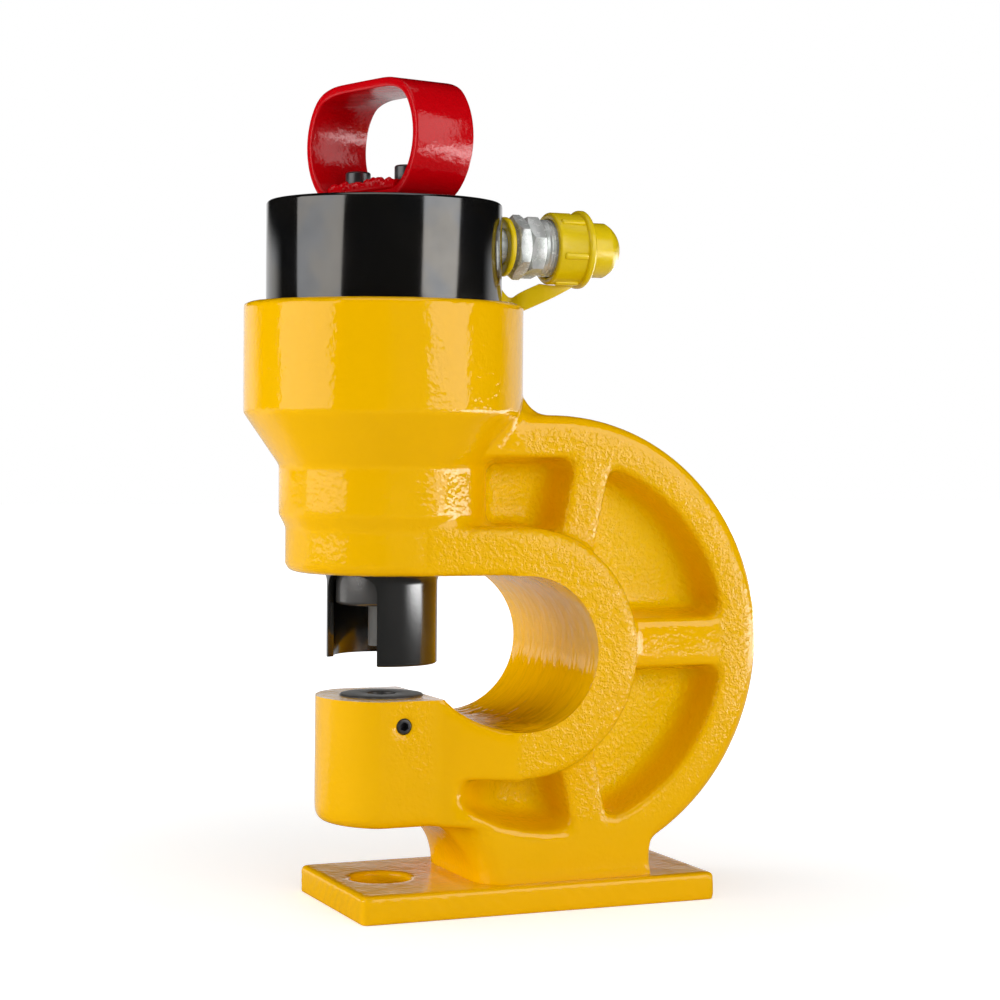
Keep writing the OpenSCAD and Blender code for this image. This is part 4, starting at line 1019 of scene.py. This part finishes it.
def build_punch(looks):
    """The punch holder and the punch on the ram's end."""
    bm = turned([(6.95, 152.5), (22.1, 152.5), (23.6, 154.0), (23.6, 184.5), (14.05, 184.5), (14.05, 169.45),
                 (9.95, 169.45), (9.95, 160.5), (6.95, 160.5)], looks.steps)
    soften(bm, 0.35)
    show(as_mesh(bm, "nut"), "punch_holder_nut", "punch_holder", sharp=30.0)
    lo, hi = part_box("punch")
    tip, top = lo.z / MM, hi.z / MM
    bm = turned([(0, tip + 0.6), (5.4, tip + 0.6), (6.9, tip), (6.9, top - 6), (9.9, top - 6),
                 (9.9, top - 0.6), (9.3, top), (0, top)], looks.steps // 2, closed=False)
    soften(bm, 0.15)
    show(as_mesh(bm, "punch"), "punch_tool", "punch", sharp=30.0)


def build_die(looks):
    """The die with its cutting edge, and the set screw that holds it."""
    bm = turned([(8.5, DIE_Z), (DIE_R - 1, DIE_Z), (DIE_R, DIE_Z + 1), (DIE_R, DIE_TOP - 0.7),
                 (DIE_R - 0.7, DIE_TOP), (7.6, DIE_TOP), (7.2, DIE_TOP - 0.4), (7.2, DIE_TOP - 9),
                 (8.5, DIE_TOP - 9)], looks.steps)
    soften(bm, 0.15)
    show(as_mesh(bm, "die"), "die_ring", "die", sharp=30.0)
    lo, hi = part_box("die_set_screw")
    length = (hi.y - lo.y) / MM
    place = Matrix.Translation((0, hi.y, SET_SCREW_Z * MM)) @ Matrix.Rotation(math.pi / 2, 4, "X")
    screw = turned([(0, 0), (3, 0), (4, 1), (4, length - 0.7), (3.3, length), (0, length)], 48, place,
                   closed=False)
    soften(screw, 0.15)
    socket = hex_prism(4.0, length, place @ Matrix.Translation((0, 0, length / 2 * MM)), 8)
    grub = cut(as_mesh(screw, "grub"), as_mesh(socket, "socket"))
    show(grub, "die_grub_screw", "die_set_screw", sharp=30.0)


def build_coupler(looks):
    """The port adaptor and the coupler: two hexagons, a neck and a threaded sleeve."""
    neck = turned([(3.5, CYL_R - 15), (8.3, CYL_R - 15), (8.3, CYL_R + 0.3), (9.2, CYL_R + 0.3),
                   (9.2, ADAPTOR_X + 0.5), (7.3, ADAPTOR_X + 0.5), (7.3, COUPLER_X + 3),
                   (3.5, COUPLER_X + 3)], 64, along_x(0))
    soften(neck, 0.2)
    hexagon = softened(chamfered_hex(29, 6.5, along_x(ADAPTOR_X), 30, 5.0), 0.25, 25.0)
    show(joined(as_mesh(neck, "neck"), hexagon), "port_adaptor_hex", "port_adaptor", sharp=25.0)
    pitch = looks.thread_pitch / MM
    outline = [(14.1, SLEEVE_X - 0.01), (14.1, SLEEVE_X + 1.6)]
    x = SLEEVE_X + 1.8
    while x + pitch < SLEEVE_END - 0.6:
        outline += [(14.7, x + 0.35 * pitch), (14.7, x + 0.5 * pitch),
                    (13.75, x + 0.85 * pitch), (13.75, x + pitch)]
        x += pitch
    outline += [(14.2, SLEEVE_END - 0.5), (13.6, SLEEVE_END), (10, SLEEVE_END), (10, SLEEVE_X + 12),
                (4.08, SLEEVE_X + 12), (4.08, SLEEVE_X + 6), (6.5, SLEEVE_X + 6), (6.5, SLEEVE_X - 0.01)]
    sleeve = turned(outline, 96, along_x(0))
    nut = softened(chamfered_hex(28, 8.5, along_x(COUPLER_X), 45, 7.35), 0.25, 25.0)
    show(joined(as_mesh(sleeve, "sleeve"), nut), "coupler_sleeve", "coupler_body", sharp=25.0)


def build_cap(looks):
    """The moulded dust cap with its grip ribs, flange and domed nose."""
    nose, dome = 14.2, 15.7
    centre = CAP_TIP - dome
    arc = [(dome * math.sin(a), centre + dome * math.cos(a))
           for a in [math.radians(64.5) * (1 - i / 14) for i in range(15)]]
    outline = [(15.2, CAP_X), (17.6, CAP_X), (18.5, CAP_X + 0.9), (18.1, CAP_FLANGE_X - 0.8),
               (18.6, CAP_FLANGE_X), (19.2, CAP_FLANGE_X), (20.2, CAP_FLANGE_X + 1),
               (20.2, CAP_FLANGE_END - 1), (19.2, CAP_FLANGE_END), (15.6, CAP_FLANGE_END + 0.2),
               (nose, CAP_FLANGE_END + 1.6)]
    outline += arc
    outline[-1] = (0, CAP_TIP)
    outline += [(0, 117.5), (11.2, 117.5), (11.2, 104.5), (15.2, 104.5)]
    bm = turned(outline, looks.steps, along_x(0), closed=True)
    soften(bm, 0.4)
    parts = [as_mesh(bm, "cap")]
    for i in range(looks.cap_ribs):
        rib = bmesh.new()
        bmesh.ops.create_cube(rib, size=1.0)
        run = CAP_FLANGE_X - CAP_X - 2.6
        bmesh.ops.transform(rib, verts=rib.verts, matrix=Matrix.Diagonal((3.4 * MM, 3.4 * MM, run * MM, 1)))
        bmesh.ops.bevel(rib, geom=rib.edges[:], offset=1.2 * MM, offset_type="OFFSET", segments=4,
                        profile=0.5, affect="EDGES", material=-1)
        turn = Matrix.Rotation(math.tau * (0.125 + i / looks.cap_ribs), 4, "Z")
        at = along_x(CAP_X + 2.5 + run / 2) @ turn @ Matrix.Translation((17.9 * MM, 0, 0))
        bmesh.ops.transform(rib, matrix=at, verts=rib.verts)
        parts.append(as_mesh(rib, "rib"))
    show(joined(*parts), "dust_cap_moulding", "dust_cap", sharp=35.0)


# Middle line of the strap from the coupler's axis, and the way that its width points there
TETHER_PATH = [(0, 8.5, -11), (0.3, 11.5, -15), (2, 15.6, -19.3), (5, 18, -24.2), (8, 17.3, -28),
               (11, 14.3, -28.9), (14, 11, -27.8), (18, 8, -25.6), (23, 5, -23), (28, 2.3, -20.3),
               (33, 0.4, -17.4), (37.5, 0, -14.8)]
TETHER_WIDE = [(0, 0.8, 0.6), (0.2, 0.85, 0.5), (0.5, 0.8, 0.5), (0.7, 0.5, 0.6), (0.7, 0.3, 0.7),
               (0.5, 0.3, 0.8), (0.2, 0.2, 1), (0, 0, 1), (0, 0, 1), (0, 0, 1), (0, 0, 1), (0, 0, 1)]


def build_tether(looks):
    """The tether: a ring round the adaptor's neck and a strap that turns round to the cap."""
    ring = turned([(9.5, TETHER_X), (14.5, TETHER_X), (15.2, TETHER_X + 0.7), (15.2, TETHER_X + 2.4),
                   (14.6, TETHER_X + 3), (12.6, TETHER_X + 3), (12.1, TETHER_X + 2.2), (9.5, TETHER_X + 2.2)],
                  looks.steps, along_x(0))
    soften(ring, 0.2)
    origin = Vector((TETHER_X + 1.5, 0, PORT_Z))
    line = [p + origin for p in even(TETHER_PATH, 4)]
    strap = swept(line, even(TETHER_WIDE, 4), 9.6, 2.0, 0.6)
    strap = cut(strap, rod(18.8, 40, along_x(CAP_X - 2), 96))
    obj = show(joined(as_mesh(ring, "ring"), strap), "tether_strap", "cap_tether", sharp=40.0, body="")
    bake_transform(obj)


def coil(radius, wire, low, high, turns, place):
    """A round wire wound about Z."""
    bm = bmesh.new()
    ring = bmesh.ops.create_circle(bm, cap_ends=True, segments=12, radius=wire / 2 * MM,
                                   matrix=Matrix.Translation((radius * MM, 0, low * MM))
                                   @ Matrix.Rotation(math.pi / 2, 4, "X"))["verts"]
    steps = int(36 * turns)
    bmesh.ops.spin(bm, geom=ring + list({e for v in ring for e in v.link_edges}) + bm.faces[:],
                   cent=(0, 0, 0), axis=(0, 0, 1), dvec=(0, 0, (high - low) * MM / steps),
                   angle=math.tau * turns, steps=steps, use_merge=False, use_duplicate=False)
    bmesh.ops.transform(bm, matrix=place, verts=bm.verts)
    bmesh.ops.recalc_face_normals(bm, faces=bm.faces)
    return as_mesh(bm, "coil")


def build_springs(looks):
    """The return spring round the rod and the valve spring in the coupler."""
    mesh = coil(29.7, 7.0, 219.8, 292.7, 6, Matrix.Identity(4))
    obj = show(mesh, "return_coil", "return_spring", sharp=50.0)
    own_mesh(obj)
    lo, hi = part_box("poppet_spring")
    mesh = coil(4.8, 0.8, lo.x / MM + 0.4, hi.x / MM - 0.4, 2, along_x(0))
    obj = show(mesh, "valve_coil", "poppet_spring", sharp=50.0)
    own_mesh(obj)


def paint_inner(looks):
    """The pieces that stay as the CAD has them, inside the machine and under it."""
    for name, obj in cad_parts.items():
        obj.data.materials.clear()
        obj.data.materials.append(MATERIALS[NODE_SLOT[name]])


# Stage

CAMERA_AT = (-0.4161, -1.1216, 0.2404)
CAMERA_YAW, CAMERA_PITCH, CAMERA_ROLL = 23.18, -1.694, -0.475
FOCAL_PX, FRAME_PX, SENSOR = 2377.1, 1000.0, 36.0


def camera_axes():
    yaw, pitch, roll = (math.radians(a) for a in (CAMERA_YAW, CAMERA_PITCH, CAMERA_ROLL))
    ahead = Vector((math.sin(yaw) * math.cos(pitch), math.cos(yaw) * math.cos(pitch), math.sin(pitch)))
    right = Vector((math.cos(yaw), -math.sin(yaw), 0))
    up = right.cross(ahead)
    c, s = math.cos(roll), math.sin(roll)
    return c * right - s * up, c * up + s * right, -ahead


def softbox(name, azimuth, distance, height, size, power, roll=0.0, at=(0.03, 0.0, 0.22)):
    """A large lamp at an azimuth left (-) or right (+) of the camera, turned to the object."""
    yaw = math.radians(CAMERA_YAW)
    back = Vector((-math.sin(yaw), -math.cos(yaw), 0))
    right = Vector((math.cos(yaw), -math.sin(yaw), 0))
    a = math.radians(azimuth)
    place = Vector(at) + (back * math.cos(a) + right * math.sin(a)) * distance
    place.z = height
    lamp = bpy.data.lights.new(name, "AREA")
    lamp.shape = "RECTANGLE"
    lamp.size, lamp.size_y = size
    lamp.energy = power
    obj = bpy.data.objects.new(name, lamp)
    bpy.context.scene.collection.objects.link(obj)
    aim = (Vector(at) - place).to_track_quat("-Z", "Y").to_matrix().to_4x4()
    obj.matrix_world = Matrix.Translation(place) @ aim @ Matrix.Rotation(math.radians(roll), 4, "Z")
    return obj


def build_stage(looks):
    """Pale floor, soft lamps, a white world behind, and the camera."""
    scene = bpy.context.scene
    bm = bmesh.new()
    bmesh.ops.create_grid(bm, x_segments=1, y_segments=1, size=6.0)
    floor = holder(as_mesh(bm, "floor"), "floor")
    bpy.context.view_layer.update()
    paper = bpy.data.materials.new("Paper floor")
    paper.use_nodes = True
    tree = paper.node_tree
    shader = tree.nodes["Principled BSDF"]
    shader.inputs["Roughness"].default_value = 0.9
    place = add(tree, "ShaderNodeTexCoord")
    tone = add(tree, "ShaderNodeMapRange")
    tree.links.new(noise(tree, place.outputs["Object"], 40.0), tone.inputs["Value"])
    tone.inputs["To Min"].default_value = 0.9
    tone.inputs["To Max"].default_value = 0.93
    seen = add(tree, "ShaderNodeLightPath")
    dimmed = math_node(tree, "MULTIPLY_ADD", seen.outputs["Is Glossy Ray"], -0.88, 1.0)
    tree.links.new(math_node(tree, "MULTIPLY", tone.outputs[0], dimmed), shader.inputs["Base Color"])
    near = add(tree, "ShaderNodeVectorMath", operation="LENGTH")
    tree.links.new(place.outputs["Object"], near.inputs[0])
    yaw = math.radians(CAMERA_YAW)
    beyond = add(tree, "ShaderNodeVectorMath", operation="DOT_PRODUCT")
    beyond.inputs[1].default_value = (math.sin(yaw), math.cos(yaw), 0)
    tree.links.new(place.outputs["Object"], beyond.inputs[0])
    glow = ramp(tree, near.outputs["Value"], 0.15, 0.9, 0.45, 1.0)
    aside = add(tree, "ShaderNodeVectorMath", operation="DOT_PRODUCT")
    aside.inputs[1].default_value = (math.cos(yaw), -math.sin(yaw), 0)
    tree.links.new(place.outputs["Object"], aside.inputs[0])
    lit = math_node(tree, "MULTIPLY", ramp(tree, aside.outputs["Value"], 0.75, 1.0, 0.0, 5.0),
                    ramp(tree, beyond.outputs["Value"], -0.8, -0.6, 0.0, 1.0))
    wall = math_node(tree, "ADD", lit, ramp(tree, beyond.outputs["Value"], 0.02, 0.2, 0.0, 0.5))
    glows = math_node(tree, "MULTIPLY_ADD", glow, seen.outputs["Is Camera Ray"],
                      math_node(tree, "MULTIPLY", wall, seen.outputs["Is Glossy Ray"]))
    tree.links.new(glows, shader.inputs["Emission Strength"])
    shader.inputs["Emission Color"].default_value = (1, 1, 1, 1)
    floor.data.materials.append(paper)

    world = bpy.data.worlds.new("Studio")
    scene.world = world
    world.use_nodes = True
    tree = world.node_tree
    tree.nodes.clear()
    out = add(tree, "ShaderNodeOutputWorld")
    way = add(tree, "ShaderNodeTexCoord")
    dot = add(tree, "ShaderNodeVectorMath", operation="DOT_PRODUCT")
    dot.inputs[1].default_value = (math.sin(yaw), math.cos(yaw), 0)
    tree.links.new(way.outputs["Generated"], dot.inputs[0])
    rise = add(tree, "ShaderNodeSeparateXYZ")
    tree.links.new(way.outputs["Generated"], rise.inputs[0])
    broad = math_node(tree, "MULTIPLY", ramp(tree, dot.outputs["Value"], 0.4, 0.7, 0.0, 0.85),
                      ramp(tree, rise.outputs[2], 0.08, 0.14, 1.0, 0.0))
    straight = math_node(tree, "MULTIPLY", ramp(tree, dot.outputs["Value"], 0.85, 0.95, 0.0, 0.85),
                         ramp(tree, rise.outputs[2], 0.1, 0.24, 1.0, 0.0))
    behind = math_node(tree, "MAXIMUM", broad, straight)
    path = add(tree, "ShaderNodeLightPath")
    level = add(tree, "ShaderNodeMix", data_type="FLOAT")
    level.inputs["A"].default_value = 0.27
    tree.links.new(path.outputs["Is Glossy Ray"], level.inputs["Factor"])
    tree.links.new(behind, level.inputs["B"])
    room = add(tree, "ShaderNodeBackground")
    tree.links.new(level.outputs["Result"], room.inputs["Strength"])
    room.inputs["Color"].default_value = (1, 1, 1, 1)
    white = add(tree, "ShaderNodeBackground")
    white.inputs["Color"].default_value = (1, 1, 1, 1)
    white.inputs["Strength"].default_value = 1.0
    mix = add(tree, "ShaderNodeMixShader")
    tree.links.new(path.outputs["Is Camera Ray"], mix.inputs[0])
    tree.links.new(room.outputs[0], mix.inputs[1])
    tree.links.new(white.outputs[0], mix.inputs[2])
    tree.links.new(mix.outputs[0], out.inputs["Surface"])

    for lamp in (softbox("Left softbox", -63, 1.15, 0.56, (1.1, 0.9), 5.3),
                 softbox("Right softbox", 59, 1.15, 0.61, (0.82, 0.9), 5.6, roll=-14),
                 softbox("Low strip", 77, 1.15, 0.085, (0.56, 0.16), 1.3)):
        lamp.visible_diffuse = False
    for lamp in (softbox("Left fill", -80, 1.7, 0.32, (1.6, 0.62), 16.5),
                 softbox("Throat fill", -98, 0.9, 0.13, (0.4, 0.2), 2.0),
                 softbox("Front fill", 28, 1.7, 0.45, (1.3, 1.2), 17.5),
                 softbox("Right fill", 80, 1.7, 0.5, (1.2, 1.2), 4.0)):
        lamp.visible_glossy = False
    softbox("Top softbox", 0, 0.25, 1.7, (1.2, 1.2), 4)

    data = bpy.data.cameras.new("Camera")
    data.sensor_width = SENSOR
    data.lens = FOCAL_PX / FRAME_PX * SENSOR
    data.clip_start = 0.05
    camera = bpy.data.objects.new("Camera", data)
    scene.collection.objects.link(camera)
    x, y, z = camera_axes()
    turn = Matrix((x, y, z)).transposed().to_4x4()
    camera.matrix_world = Matrix.Translation(CAMERA_AT) @ turn
    scene.camera = camera
    scene.view_settings.view_transform = "Standard"


# Operators, panel and registration

MATERIALS = {}


def looks_of(context):
    return context.scene.punch_looks


class PUNCH_OT_materials(bpy.types.Operator):
    """Make the finishes and paint the CAD nodes that stay"""

    bl_idname = "punch.materials"
    bl_label = "Finishes"

    def execute(self, context):
        MATERIALS.update(make_materials(looks_of(context)))
        paint_inner(looks_of(context))
        return {"FINISHED"}


class PUNCH_OT_casting(bpy.types.Operator):
    """Build the cast frame's skin"""

    bl_idname = "punch.casting"
    bl_label = "Cast frame"

    def execute(self, context):
        build_casting(looks_of(context))
        return {"FINISHED"}


class PUNCH_OT_base(bpy.types.Operator):
    """Build the base plate"""

    bl_idname = "punch.base"
    bl_label = "Base plate"

    def execute(self, context):
        build_base(looks_of(context))
        return {"FINISHED"}


class PUNCH_OT_cylinder(bpy.types.Operator):
    """Build the black cylinder cup"""

    bl_idname = "punch.cylinder"
    bl_label = "Cylinder"

    def execute(self, context):
        build_cylinder(looks_of(context))
        return {"FINISHED"}


class PUNCH_OT_handle(bpy.types.Operator):
    """Build the handle, its weld bead and its screws"""

    bl_idname = "punch.handle"
    bl_label = "Handle"

    def execute(self, context):
        build_handle(looks_of(context))
        build_handle_screws(looks_of(context))
        return {"FINISHED"}


class PUNCH_OT_tooling(bpy.types.Operator):
    """Build the stripper, punch holder, punch, die and set screw"""

    bl_idname = "punch.tooling"
    bl_label = "Tooling"

    def execute(self, context):
        build_stripper(looks_of(context))
        build_punch(looks_of(context))
        build_die(looks_of(context))
        return {"FINISHED"}


class PUNCH_OT_coupler(bpy.types.Operator):
    """Build the oil coupler, its dust cap and its tether"""

    bl_idname = "punch.coupler"
    bl_label = "Coupler"

    def execute(self, context):
        build_coupler(looks_of(context))
        build_cap(looks_of(context))
        build_tether(looks_of(context))
        return {"FINISHED"}


class PUNCH_OT_springs(bpy.types.Operator):
    """Build the return spring and the valve spring"""

    bl_idname = "punch.springs"
    bl_label = "Springs"

    def execute(self, context):
        build_springs(looks_of(context))
        return {"FINISHED"}


class PUNCH_OT_stage(bpy.types.Operator):
    """Set the floor, lamps, world and camera"""

    bl_idname = "punch.stage"
    bl_label = "Stage"

    def execute(self, context):
        build_stage(looks_of(context))
        return {"FINISHED"}


STEPS = (PUNCH_OT_materials, PUNCH_OT_casting, PUNCH_OT_base, PUNCH_OT_cylinder, PUNCH_OT_handle,
         PUNCH_OT_tooling, PUNCH_OT_coupler, PUNCH_OT_springs, PUNCH_OT_stage)


class PUNCH_PT_panel(bpy.types.Panel):
    """Lists the steps and the sizes and colours that they read"""

    bl_idname = "PUNCH_PT_panel"
    bl_label = "Hole punch"
    bl_space_type = "VIEW_3D"
    bl_region_type = "UI"
    bl_category = "Hole punch"

    def draw(self, context):
        for step in STEPS:
            self.layout.operator(step.bl_idname)
        for name in PunchLooks.__annotations__:
            self.layout.prop(looks_of(context), name)


CLASSES = (PunchLooks, *STEPS, PUNCH_PT_panel)


def register():
    for cls in CLASSES:
        bpy.utils.register_class(cls)
    bpy.types.Scene.punch_looks = PointerProperty(type=PunchLooks)


def unregister():
    del bpy.types.Scene.punch_looks
    for cls in reversed(CLASSES):
        bpy.utils.unregister_class(cls)


def main():
    register()
    for step in STEPS:
        group, call = step.bl_idname.split(".")
        getattr(getattr(bpy.ops, group), call)()


if __name__ == "__main__":
    main()
